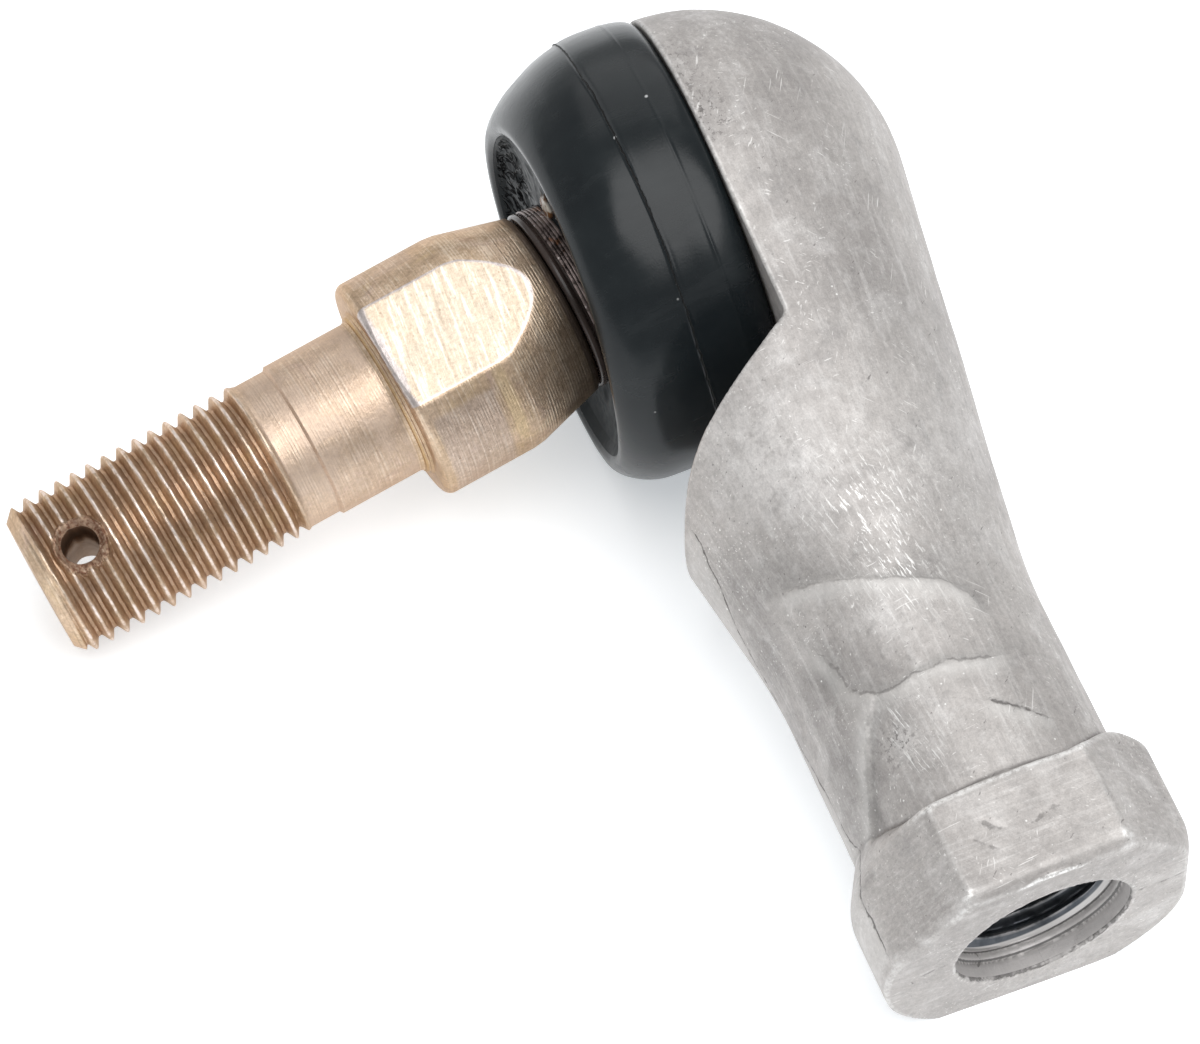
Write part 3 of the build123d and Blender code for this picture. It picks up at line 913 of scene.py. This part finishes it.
# ---- Materials
class Shader:
    """A material's node tree with short ways to add nodes to it."""

    def __init__(self, name):
        self.material = bpy.data.materials.new(name)
        self.material.use_nodes = True
        self.tree = self.material.node_tree
        self.bsdf = self.tree.nodes["Principled BSDF"]
        self.where = self.node("TexCoord").outputs["Object"]

    def node(self, kind, props=None, **inputs):
        made = self.tree.nodes.new("ShaderNode" + kind)
        for key, value in (props or {}).items():
            setattr(made, key, value)
        for key, value in inputs.items():
            self.put(made.inputs[key.replace("_", " ")], value)
        return made

    def put(self, socket, value):
        if isinstance(value, bpy.types.NodeSocket):
            self.tree.links.new(value, socket)
        else:
            socket.default_value = value

    def value(self, name):
        """One of the mesh's per-point values; 0 where the mesh has none of that name."""
        return self.node("Attribute", {"attribute_name": name}).outputs["Fac"]

    def scaled(self, per_mm, rotation=(0, 0, 0)):
        """The object's coordinates turned, then counted in cells per millimetre."""
        turned = self.node("Mapping", Vector=self.where, Rotation=rotation)
        stretch = self.node("VectorMath", {"operation": "MULTIPLY"})
        self.put(stretch.inputs[0], turned.outputs[0])
        self.put(stretch.inputs[1], tuple(1000 * k for k in per_mm))
        return stretch.outputs[0]

    def noise(self, per_mm, detail=3.0, rough=0.55, rotation=(0, 0, 0), warp=0.0):
        if isinstance(per_mm, (int, float)):
            per_mm = (per_mm,) * 3
        at = self.scaled(per_mm, rotation)
        made = self.node("TexNoise", Vector=at, Scale=1.0, Detail=detail, Roughness=rough)
        made.inputs["Distortion"].default_value = warp
        return made.outputs["Fac"]

    def cells(self, per_mm):
        """Distance to the nearest of scattered points."""
        at = self.scaled((per_mm,) * 3)
        return self.node("TexVoronoi", Vector=at, Scale=1.0).outputs["Distance"]

    def remap(self, value, low, high, to_low=0.0, to_high=1.0, smooth=True):
        kind = "SMOOTHSTEP" if smooth else "LINEAR"
        made = self.node("MapRange", {"interpolation_type": kind, "clamp": True}, Value=value)
        for k, v in zip(("From Min", "From Max", "To Min", "To Max"), (low, high, to_low, to_high)):
            made.inputs[k].default_value = v
        return made.outputs["Result"]

    def spread(self, noise, at_low=0.0, at_high=1.0):
        """The usual span of a noise laid onto another one."""
        return self.remap(noise, 0.3, 0.7, at_low, at_high)

    def span(self, value, start, full, end, fading):
        """1 where a value lies between two soft edges: it grows from start to full, and
        grows likewise from end to fading."""
        return self.product(self.remap(value, start, full), self.remap(value, end, fading))

    def math(self, operation, a, b=0.0):
        made = self.node("Math", {"operation": operation})
        self.put(made.inputs[0], a)
        self.put(made.inputs[1], b)
        return made.outputs[0]

    def product(self, first, *others):
        for other in others:
            first = self.math("MULTIPLY", first, other)
        return first

    def total(self, first, *others):
        for other in others:
            first = self.math("ADD", first, other)
        return first

    def sway(self, noise, width):
        """A noise laid about 0, up to half of width each way."""
        return self.product(self.math("SUBTRACT", noise, 0.5), width)

    def apart(self, value, place):
        return self.math("ABSOLUTE", self.math("SUBTRACT", value, place))

    def mix(self, share, a, b, blend="MIX"):
        made = self.node("Mix", {"data_type": "RGBA", "blend_type": blend})
        self.put(made.inputs[0], share)
        for k, v in ((6, a), (7, b)):
            self.put(made.inputs[k], (*v, 1.0) if isinstance(v, tuple) and len(v) == 3 else v)
        return made.outputs[2]

    def coats(self, color, *coats):
        """Lay coats over a colour, one after another, each as (where, strength, colour)."""
        for where, strength, coat in coats:
            color = self.mix(self.product(where, strength), color, coat)
        return color

    def dimmed(self, color, value, low, high, at_low, at_high):
        """A colour times a grey that goes from at_low to at_high with a value."""
        grey = self.remap(value, low, high, at_low, at_high, smooth=False)
        grey = self.node("CombineColor", Red=grey, Green=grey, Blue=grey).outputs[0]
        return self.mix(1.0, color, grey, "MULTIPLY")

    def between(self, share, a, b):
        made = self.node("Mix", {"data_type": "FLOAT"})
        for k, v in ((0, share), (2, a), (3, b)):
            self.put(made.inputs[k], v)
        return made.outputs[0]

    def bump(self, height, distance_mm, strength=1.0, normal=None):
        made = self.node("Bump", Height=height, Strength=strength, Distance=distance_mm * MM)
        if normal is not None:
            self.put(made.inputs["Normal"], normal)
        return made.outputs["Normal"]

    def surface(self, **inputs):
        for key, value in inputs.items():
            socket = self.bsdf.inputs[key.replace("_", " ")]
            if isinstance(value, tuple) and len(value) == 3 and socket.type == "RGBA":
                value = (*value, 1.0)
            self.put(socket, value)
        return self.material


# Tones of the housing's skin
BARE = (0.95, 0.95, 0.93)
BRIGHT = (0.78, 0.765, 0.75)
DULL = (0.27, 0.26, 0.255)
# Dark for the dirt in pits, and for painted shade in inner corners
DIRT_AND_SHADE = (0.15, 0.14, 0.135)
# Its dark lines, as (value that holds the distance, half width, depth of tone)
DARK_LINES = (
    ("flash", 0.15, 0.9), ("brow", 0.14, 0.3), ("fold", 0.17, 0.5), ("seam", 0.20, 0.25),
    ("lip", 0.22, 0.8), ("knock", 0.16, 0.5), ("rim", 0.11, 0.75),
)
# Hairline scratches as (turn, scratches per millimetre)
SCRATCHES = (((0.1, 0.2, 0.5), 5.5), ((0.4, -0.2, -0.9), 6.5), ((0, 0.3, 1.5), 7.0))
# The dark rings at this machining step and at the counterbore's floor are painted shade in their
# corners
BORE_RING = 58.42  # a machining ring in the counterbore


def housing_material():
    m = Shader("housing_alloy")
    tone = m.noise(0.09, 4.0, 0.6)
    blotch = m.noise(0.30, 4.0, 0.62, warp=0.6)
    patch = m.noise(0.85, 3.0, 0.6, warp=0.4)
    grain = m.noise(2.8, 3.0, 0.68)
    fine = m.noise(8.0, 2.0, 0.7)
    # Polishing streaks run along the shank and across the collar
    along = m.noise((0.10, 1.9, 1.9), 4.0, 0.7)
    across = m.noise((3.4, 0.22, 0.9), 4.0, 0.7)
    streak = m.between(m.value("collar"), along, across)
    # Broad patches of painted light and shade, partly the skin's own tone
    tone_and_shade = m.product(m.value("tone_and_shade"), m.remap(patch, 0.3, 0.6, 0.55, 1.0))
    busy = m.remap(m.value("shank"), 0.0, 1.0, 0.10, 0.24)
    color = m.coats(
        m.mix(m.spread(tone), (0.41, 0.388, 0.375), (0.54, 0.515, 0.497)),
        (m.remap(blotch, 0.50, 0.74), 0.5, (0.68, 0.662, 0.65)),
        (m.remap(blotch, 0.47, 0.26), 0.4, (0.30, 0.288, 0.285)),
        (m.math("MAXIMUM", tone_and_shade, 0.0), 0.5, (0.84, 0.82, 0.805)),
        (m.math("MINIMUM", tone_and_shade, 0.0), -0.5, (0.22, 0.21, 0.205)),
        (m.remap(patch, 0.52, 0.72), busy, BRIGHT),
        (m.remap(patch, 0.46, 0.28), busy, DULL),
        (m.remap(streak, 0.48, 0.72), 0.32, BRIGHT),
        (m.remap(streak, 0.44, 0.26), 0.25, DULL),
    )
    color = m.dimmed(color, grain, 0.3, 0.7, 0.86, 1.09)
    color = m.dimmed(color, fine, 0.3, 0.7, 0.90, 1.08)
    # Painted shade in the forging's hollows and on the trough side of the laps
    hollow_and_shade = m.product(m.value("hollow_and_shade"), m.remap(patch, 0.35, 0.6, 0.6, 1.0))
    color = m.dimmed(color, hollow_and_shade, 0.0, 1.0, 1.0, 0.62)
    # Hairline scratches, each direction in its own areas
    for k, (turn, per_mm) in enumerate(SCRATCHES):
        hair = m.remap(m.noise((0.16, per_mm, per_mm), 1.5, 0.5, rotation=turn), 0.66, 0.73)
        area = m.remap(m.noise(0.22 + 0.05 * k, 2.0), 0.50, 0.62)
        color = m.coats(color, (m.product(hair, area), 0.6, (0.92, 0.91, 0.89)))
    nick = m.noise((0.7, 3.6, 3.6), 2.0, 0.6, rotation=(0.2, 0.5, 0.8))
    specks = m.product(m.remap(m.cells(1.1), 0.11, 0.05), m.remap(m.noise(0.35, 2.0), 0.5, 0.6))
    pits = m.product(m.remap(m.noise(2.3, 3.0, 0.7), 0.47, 0.38), m.value("pitted"))
    scrape = m.noise((0.5, 5.0, 5.0), 3.0, 0.7, rotation=(0, 0, -0.2))
    shiny = m.product(m.remap(scrape, 0.555, 0.65), m.value("scraped"))
    bore = m.value("bore")
    color = m.coats(
        color,
        (m.remap(nick, 0.31, 0.25), 0.7, (0.17, 0.16, 0.155)),
        (specks, 0.75, BARE),
        (pits, 0.85, DIRT_AND_SHADE),
        (shiny, 0.8, BARE),
        # Painted highlight beside the laps, and paler skin below the parting line
        (m.value("pale"), 0.35, (0.74, 0.73, 0.71)),
        (m.remap(bore, COUNTERBORE_END - 0.2, COUNTERBORE_END), 0.7, (0.80, 0.775, 0.765)),
    )
    ragged = m.noise(1.6, 3.0, 0.6)
    fleck = m.remap(m.noise(0.9, 2.0), 0.34, 0.52, 0.25, 1.0)
    for name, width, depth in DARK_LINES:
        near = m.total(m.value(name), m.sway(ragged, min(1.1, 4 * width)))
        line = m.remap(m.math("ABSOLUTE", near), width, width * 0.2)
        color = m.coats(color, (m.product(line, fleck), depth, (0.12, 0.112, 0.108)))
    # Painted shade in the housing's inner corners
    color = m.coats(color, (m.value("crease"), 0.8, DIRT_AND_SHADE))
    # Painted shade: dark rings in the corners of the counterbore's step and floor
    for station in (BORE_RING, COUNTERBORE_END):
        ring = m.remap(m.apart(bore, station), 0.10, 0.03)
        color = m.coats(color, (ring, 0.8, (0.08, 0.078, 0.078)))
    worn = m.product(
        m.remap(m.value("edge"), 0.2, 0.7),
        m.remap(m.noise(2.6, 3.0, 0.7), 0.38, 0.60, 0.25, 1.0),
        m.remap(m.value("topside"), 0.0, 1.0, 0.35, 0.95),
    )
    rough = m.spread(m.noise(0.7, 4.0, 0.6), 0.48, 0.66)
    height = m.total(m.product(grain, 0.8), m.product(streak, 0.8), m.product(fine, 0.35), patch)
    return m.surface(
        Base_Color=m.mix(worn, color, (0.93, 0.925, 0.91)),
        Metallic=0.5,
        Roughness=m.math("SUBTRACT", rough, m.product(m.total(worn, shiny), 0.15)),
        Normal=m.bump(height, 0.05, 0.5),
        Specular_Tint=(0.8, 0.78, 0.78),
    )


def thread_material():
    m = Shader("tapped_steel")
    tone = m.noise(0.8, 3.0)
    lines = m.noise((3.2, 0.3, 0.3), 3.0)
    crest = m.remap(m.value("radius"), 5.50, 5.40)
    mouth = m.remap(m.value("station"), COUNTERBORE_END - 0.3, COUNTERBORE_END - 0.22)
    # The tapped thread is coloured dark as painted shade inside the bore, with painted highlights
    # on its crests; the outer part of its chamfer has the housing's metal colour
    color = m.mix(m.spread(tone), (0.055, 0.062, 0.072), (0.12, 0.13, 0.145))
    color = m.mix(m.remap(lines, 0.5, 0.8, 0, 0.3), color, (0.35, 0.35, 0.35))
    color = m.coats(color, (crest, m.remap(tone, 0.35, 0.6, 0.1, 0.6), (0.48, 0.47, 0.47)))
    return m.surface(
        Base_Color=m.mix(mouth, color, (0.62, 0.60, 0.59)),
        Metallic=m.between(mouth, 0.85, 0.4),
        Roughness=m.spread(tone, 0.30, 0.45),
        Normal=m.bump(lines, 0.02, 0.3),
    )


def stud_material():
    """Yellow zinc over turned steel; stations are in millimetres from the ball's centre."""
    m = Shader("stud_steel")
    station, radius, roll = (m.value(name) for name in ("station", "radius", "roll"))
    on_flat = m.remap(m.value("over"), -0.02, 0.02)
    off_flat = m.math("SUBTRACT", 1.0, on_flat)
    # Turning lines run round the stud, broken into lengths; milling lines cross the flats
    turned = m.node("TexNoise", {"noise_dimensions": "1D"}, W=station, Scale=5.5, Detail=3.0)
    turned.inputs["Roughness"].default_value = 0.7
    turned = turned.outputs["Fac"]
    broken = m.noise(0.8, 3.0, 0.6)
    lines = m.total(turned, m.sway(broken, 0.7))
    ring = m.remap(m.math("SINE", m.product(station, 28.6)), -1, 1, 0, 1, smooth=False)
    ring = m.product(ring, m.remap(broken, 0.35, 0.6))
    grain = m.noise(3.2, 3.0, 0.68)
    fine = m.noise(8.0, 2.0, 0.7)
    tone = m.noise(0.16, 3.0, 0.6)
    stain = m.noise(0.35, 4.0, 0.65, warp=0.8)
    # Milled patch on the collar's lower side, with a golden band at its inner end
    low = m.span(roll, -37, -41, -104, -98)
    high = m.span(roll, 44, 48, 120, 116)
    patch = m.span(station, 19.8, 20.3, 25.0, 24.6)
    patch = m.product(patch, m.total(low, m.product(high, 0.6)))
    tick = m.remap(m.total(turned, m.product(broken, 0.5)), 0.70, 0.95)
    band = m.product(m.span(station, 18.5, 18.9, 19.7, 19.4), m.span(roll, -28, -36, -84, -70))
    gold = m.coats(
        m.mix(m.spread(tone), (0.48, 0.355, 0.245), (0.66, 0.50, 0.365)),
        (m.remap(stain, 0.5, 0.75), 0.45, (0.66, 0.51, 0.29)),
        (m.remap(stain, 0.45, 0.25), 0.5, (0.56, 0.41, 0.36)),
        (m.remap(lines, 0.52, 0.75), 0.45, (0.88, 0.76, 0.62)),
        (m.remap(lines, 0.46, 0.28), 0.3, (0.30, 0.21, 0.14)),
        (patch, 0.6, (0.50, 0.40, 0.345)),
        (m.product(patch, tick), 0.3, (0.80, 0.70, 0.61)),
        (band, 0.5, (0.72, 0.56, 0.34)),
    )
    # The flats' rims are broken, widest beside the collar's end face
    mill = m.noise((0.16, 3.2, 1.0), 3.0, 0.65, rotation=(0, 0, 0.16 - LEAN))
    rim = m.total(m.value("over"), m.sway(broken, 0.12))
    rim = m.remap(m.apart(rim, 0.02), 0.09, 0.03)
    end_edge = m.total(station, m.sway(broken, 1.1))
    end_edge = m.remap(m.apart(end_edge, COLLAR_END - 0.35), 0.42, 0.2)
    face = m.mix(m.remap(stain, 0.35, 0.65), (0.53, 0.435, 0.335), (0.60, 0.51, 0.405))
    face = m.coats(
        face,
        (m.remap(mill, 0.47, 0.68), 0.85, (0.84, 0.77, 0.665)),
        (m.remap(grain, 0.38, 0.28), 0.2, (0.45, 0.34, 0.25)),
        (m.remap(mill, 0.45, 0.30), 0.6, (0.42, 0.33, 0.25)),
        (m.math("MAXIMUM", rim, end_edge), 0.7, (0.60, 0.555, 0.57)),
    )
    color = m.mix(on_flat, gold, face)
    color = m.dimmed(color, grain, 0.3, 0.7, 0.80, 1.12)
    color = m.dimmed(color, fine, 0.3, 0.7, 0.88, 1.08)
    threads = m.span(station, 35.4, 36.2, 53.2, 52.8)
    # Painted shade in the thread's roots and painted highlights on its crests
    root_shade = m.product(m.remap(radius, 5.5, 5.2), threads)
    crest = m.product(m.remap(radius, 5.78, 5.90), threads)
    cone = m.product(m.remap(station, 18.6, 17.6), off_flat)
    groove = m.product(ring, cone, m.remap(fine, 0.35, 0.6, 0.3, 1.0))
    shoulder = m.span(station, 26.2, 26.8, 35.8, 35.2)
    haze = m.remap(stain, 0.35, 0.65, 0.2, 0.65)
    # Painted shade on the cone under the boot's clip, stronger on one side round the stud
    painted_shade = m.product(m.remap(station, 18.0, COLLAR_START - 0.1), off_flat)
    burr = m.value("burr")
    golden = m.span(station, COLLAR_END + 0.01, COLLAR_END + 0.06, 26.5, 26.3)
    bands = m.remap(m.math("SINE", m.product(station, 15.0)), -0.4, 0.8, 0.1, 0.6)
    color = m.coats(
        color,
        (m.remap(m.cells(0.9), 0.10, 0.05), 0.5, (0.22, 0.15, 0.10)),
        (root_shade, 0.6, (0.27, 0.145, 0.08)),
        (crest, m.remap(broken, 0.38, 0.62, 0.1, 0.75), (0.88, 0.79, 0.75)),
        (groove, 0.6, (0.80, 0.70, 0.57)),
        (shoulder, haze, (0.63, 0.50, 0.42)),
        (painted_shade, m.remap(roll, 40, -40, 0.12, 0.6), (0.15, 0.108, 0.08)),
        (m.remap(station, 13.0, 12.7), 0.8, (0.09, 0.065, 0.055)),
        (burr, m.remap(grain, 0.35, 0.6, 0.95, 0.5), (0.17, 0.075, 0.045)),
    )
    # The walls of the cotter hole carry no values of their own
    color = m.mix(m.remap(radius, 1.2, 0.6), color, (0.24, 0.155, 0.105))
    color = m.coats(color, (golden, bands, (0.50, 0.33, 0.15)))
    height = m.total(m.product(lines, 0.8), m.product(ring, 0.4))
    height = m.between(on_flat, height, m.product(mill, 0.8))
    height = m.total(height, m.product(grain, 0.8))
    rough = m.spread(stain, 0.30, 0.42)
    return m.surface(
        Base_Color=color,
        Metallic=0.8,
        Roughness=m.total(rough, m.product(shoulder, 0.08), m.product(burr, 0.2)),
        Normal=m.bump(height, 0.035, 0.6),
        Specular_Tint=(0.72, 0.58, 0.47),
    )


RUBBER = ((0.004, 0.007, 0.009), (0.009, 0.013, 0.015))
CUFF_RUBBER = ((0.03, 0.022, 0.019), (0.06, 0.043, 0.037))


def rubber_material(name, tones=RUBBER, rough=(0.20, 0.29), seam=False, sheen=0.32):
    m = Shader(name)
    tone = m.noise(0.2, 3.0)
    dust = m.remap(m.cells(0.33), 0.055, 0.02)
    smear = m.noise((0.5, 0.12, 0.5), 4.0, 0.7)
    fine = m.noise(6.0, 2.0, 0.6)
    color = m.mix(m.spread(tone), *tones)
    color = m.coats(color, (m.remap(smear, 0.5, 0.8), 0.2, (0.04, 0.045, 0.048)))
    color = m.mix(dust, color, (0.45, 0.46, 0.46))
    roughness = m.spread(smear, *rough)
    normal = m.bump(m.total(m.product(fine, 0.4), smear), 0.02, 0.5)
    if seam:
        near = m.total(m.value("seam"), m.sway(m.noise(1.4, 3.0, 0.7), 0.35))
        line = m.remap(m.math("ABSOLUTE", near), 0.07, 0.02)
        color = m.mix(line, color, (0.002, 0.002, 0.002))
        roughness = m.total(roughness, m.product(line, 0.4))
        normal = m.bump(m.math("SUBTRACT", 1.0, line), 0.12, 1.0, normal)
    # Painted shade in the creases of the wrinkles where the rubber is gathered
    wrinkle = m.noise((0.35, 1.3, 0.8), 2.5, 0.6, rotation=(0, 0.6, 0), warp=0.8)
    wrinkle = m.remap(m.apart(wrinkle, 0.5), 0.0, 0.07)
    gathered = m.product(m.math("SUBTRACT", 1.0, wrinkle), m.value("gathered"))
    color = m.mix(gathered, color, (0.001, 0.001, 0.0015))
    roughness = m.total(roughness, m.product(gathered, 0.5))
    normal = m.bump(m.math("SUBTRACT", 1.0, gathered), 0.25, 1.0, normal)
    grease = m.value("grease")
    amber = m.mix(m.remap(m.noise(1.3, 2.0), 0.42, 0.58), (0.55, 0.50, 0.43), (0.16, 0.075, 0.03))
    return m.surface(
        Base_Color=m.mix(grease, color, amber),
        Roughness=m.between(grease, roughness, 0.15),
        Normal=normal,
        Specular_IOR_Level=sheen,
    )


def wire_material():
    m = Shader("clip_steel")
    tone = m.noise(0.6, 4.0, 0.65, warp=1.0)
    rust = m.noise(0.9, 3.0, 0.6)
    color = m.coats(
        m.mix(m.remap(tone, 0.35, 0.65), (0.035, 0.024, 0.021), (0.30, 0.24, 0.225)),
        (m.remap(rust, 0.56, 0.7), 0.8, (0.22, 0.09, 0.035)),
        # Whitish spots: painted highlights on the wire
        (m.remap(m.cells(1.4), 0.2, 0.06), 0.8, (0.7, 0.64, 0.62)),
    )
    return m.surface(
        Base_Color=color,
        Metallic=0.65,
        Roughness=m.spread(tone, 0.22, 0.45),
        Normal=m.bump(m.noise(3.0, 3.0), 0.08, 0.6),
    )


def plain_metal(name, low, high, rough):
    m = Shader(name)
    tone = m.noise(0.3, 3.0)
    marks = m.noise(1.0, 3.0, 0.65)
    color = m.mix(m.spread(tone), low, high)
    color = m.mix(m.remap(marks, 0.5, 0.8, 0, 0.4), color, tuple(1.3 * k for k in high))
    return m.surface(
        Base_Color=color,
        Metallic=0.9,
        Roughness=m.spread(marks, *rough),
        Normal=m.bump(marks, 0.02, 0.4),
    )


def seat_material():
    m = Shader("seat_plastic")
    tone = m.noise(0.25, 3.0)
    fine = m.noise(3.0, 3.0)
    return m.surface(
        Base_Color=m.mix(m.spread(tone), (0.72, 0.70, 0.62), (0.82, 0.80, 0.73)),
        Roughness=m.spread(fine, 0.38, 0.55),
        Normal=m.bump(fine, 0.02, 0.4),
        Subsurface_Weight=0.05,
    )


def dress(obj, material):
    obj.data.materials.clear()
    obj.data.materials.append(material)


# ---- Build
housing = build_housing()
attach(housing, "housing")
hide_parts("housing")
dress(housing, housing_material())

tapped = build_tapped_thread()
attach(tapped, "housing")
dress(tapped, thread_material())

stud = build_stud()
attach(stud, "ball_stud")
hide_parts("ball_stud")
dress(stud, stud_material())

wall, funnel = build_boot()
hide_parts("boot")
rubber = rubber_material("boot_rubber", seam=True)
dress(wall, rubber)
dress(funnel, rubber_material("boot_rubber_inside", rough=(0.3, 0.5), sheen=0.1))

cuff, wire = build_clip()
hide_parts("boot_lip")
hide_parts("boot_clip")
dress(cuff, rubber_material("cuff_rubber", CUFF_RUBBER))
dress(wire, wire_material())

seat = seat_material()
dress(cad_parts["lower_seat"], seat)
dress(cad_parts["upper_seat"], seat)
dress(
    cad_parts["retaining_washer"],
    plain_metal("washer_steel", (0.45, 0.44, 0.42), (0.6, 0.59, 0.57), (0.28, 0.42)),
)
spring = plain_metal("spring_steel", (0.22, 0.22, 0.23), (0.36, 0.36, 0.37), (0.25, 0.4))
dress(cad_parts["preload_spring"], spring)
dress(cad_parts["boot_base_ring"], spring)

# ---- Floor, light and camera
# The part lies on its dome, the wrench collar and the tip of its stud
CONTACTS = np.array([(0.0, -4.0, -16.0), (58.7, 4.9, -10.45), (6.7, -52.6, -6.0)])
floor_up = np.cross(CONTACTS[1] - CONTACTS[0], CONTACTS[2] - CONTACTS[0])
floor_up *= np.sign(floor_up[2]) / np.linalg.norm(floor_up)
FLOOR_SIZE = 3000.0


def build_floor():
    a = np.cross(floor_up, (0.0, 1.0, 0.0))
    a /= np.linalg.norm(a)
    b = np.cross(floor_up, a)
    centre = CONTACTS.mean(0) - floor_up * 0.05
    n = 9
    g = np.linspace(-FLOOR_SIZE, FLOOR_SIZE, n)
    points = [centre + u * a + v * b for u in g for v in g]
    floor = make_mesh("floor", points, grid_faces(n, n, close_columns=False))
    m = Shader("floor_white")
    m.surface(Base_Color=(0.93, 0.93, 0.93), Roughness=0.9)
    m.surface(Emission_Color=(0.94, 1.0, 1.05), Emission_Strength=0.42)
    dress(floor, m.material)


build_floor()

world = bpy.data.worlds.new("studio")
world.use_nodes = True
world.node_tree.nodes["Background"].inputs["Color"].default_value = (1.0, 1.0, 1.0, 1.0)
world.node_tree.nodes["Background"].inputs["Strength"].default_value = 0.5
bpy.context.scene.world = world


MIDDLE = np.array([22.0, -14.0, 0.0])  # of the part, near enough, for the lights


def softbox(name, toward, distance, width, height, power):
    """A rectangular light, in millimetres, aimed at the middle of the part."""
    toward = np.array(toward, float) / np.linalg.norm(toward)
    data = bpy.data.lights.new(name, "AREA")
    data.shape = "RECTANGLE"
    data.size, data.size_y = width * MM, height * MM
    data.energy = power
    lamp = bpy.data.objects.new(name, data)
    lamp.location = Vector((MIDDLE + toward * distance) * MM)
    lamp.rotation_mode = "QUATERNION"
    lamp.rotation_quaternion = Vector(toward).to_track_quat("Z", "Y")
    lamp.visible_camera = False
    bpy.context.scene.collection.objects.link(lamp)


softbox("key", (0.18, 0.24, 0.95), 520, 420, 560, 2.1)
softbox("fill", (-0.8, 0.3, 0.5), 600, 500, 500, 0.6)

camera_data = bpy.data.cameras.new("camera")
camera_data.lens = 135.0
camera_data.sensor_width = 36.0
camera_data.sensor_fit = "HORIZONTAL"
camera_data.clip_start = 0.01
camera_data.clip_end = 20.0
camera = bpy.data.objects.new("camera", camera_data)
# The camera's axes and place, fitted to the photograph
right = Vector((0.37486, 0.92087, -0.10717))
up = Vector((-0.81791, 0.38292, 0.42941))
back = Vector((0.43647, -0.07332, 0.89673))
pose = Matrix((right, up, back)).transposed().to_4x4()
pose.translation = Vector((157.299, -38.803, 283.681)) * MM
camera.matrix_world = pose
bpy.context.scene.collection.objects.link(camera)
bpy.context.scene.camera = camera
bpy.context.scene.view_settings.view_transform = "Standard"
bpy.context.scene.view_settings.look = "None"
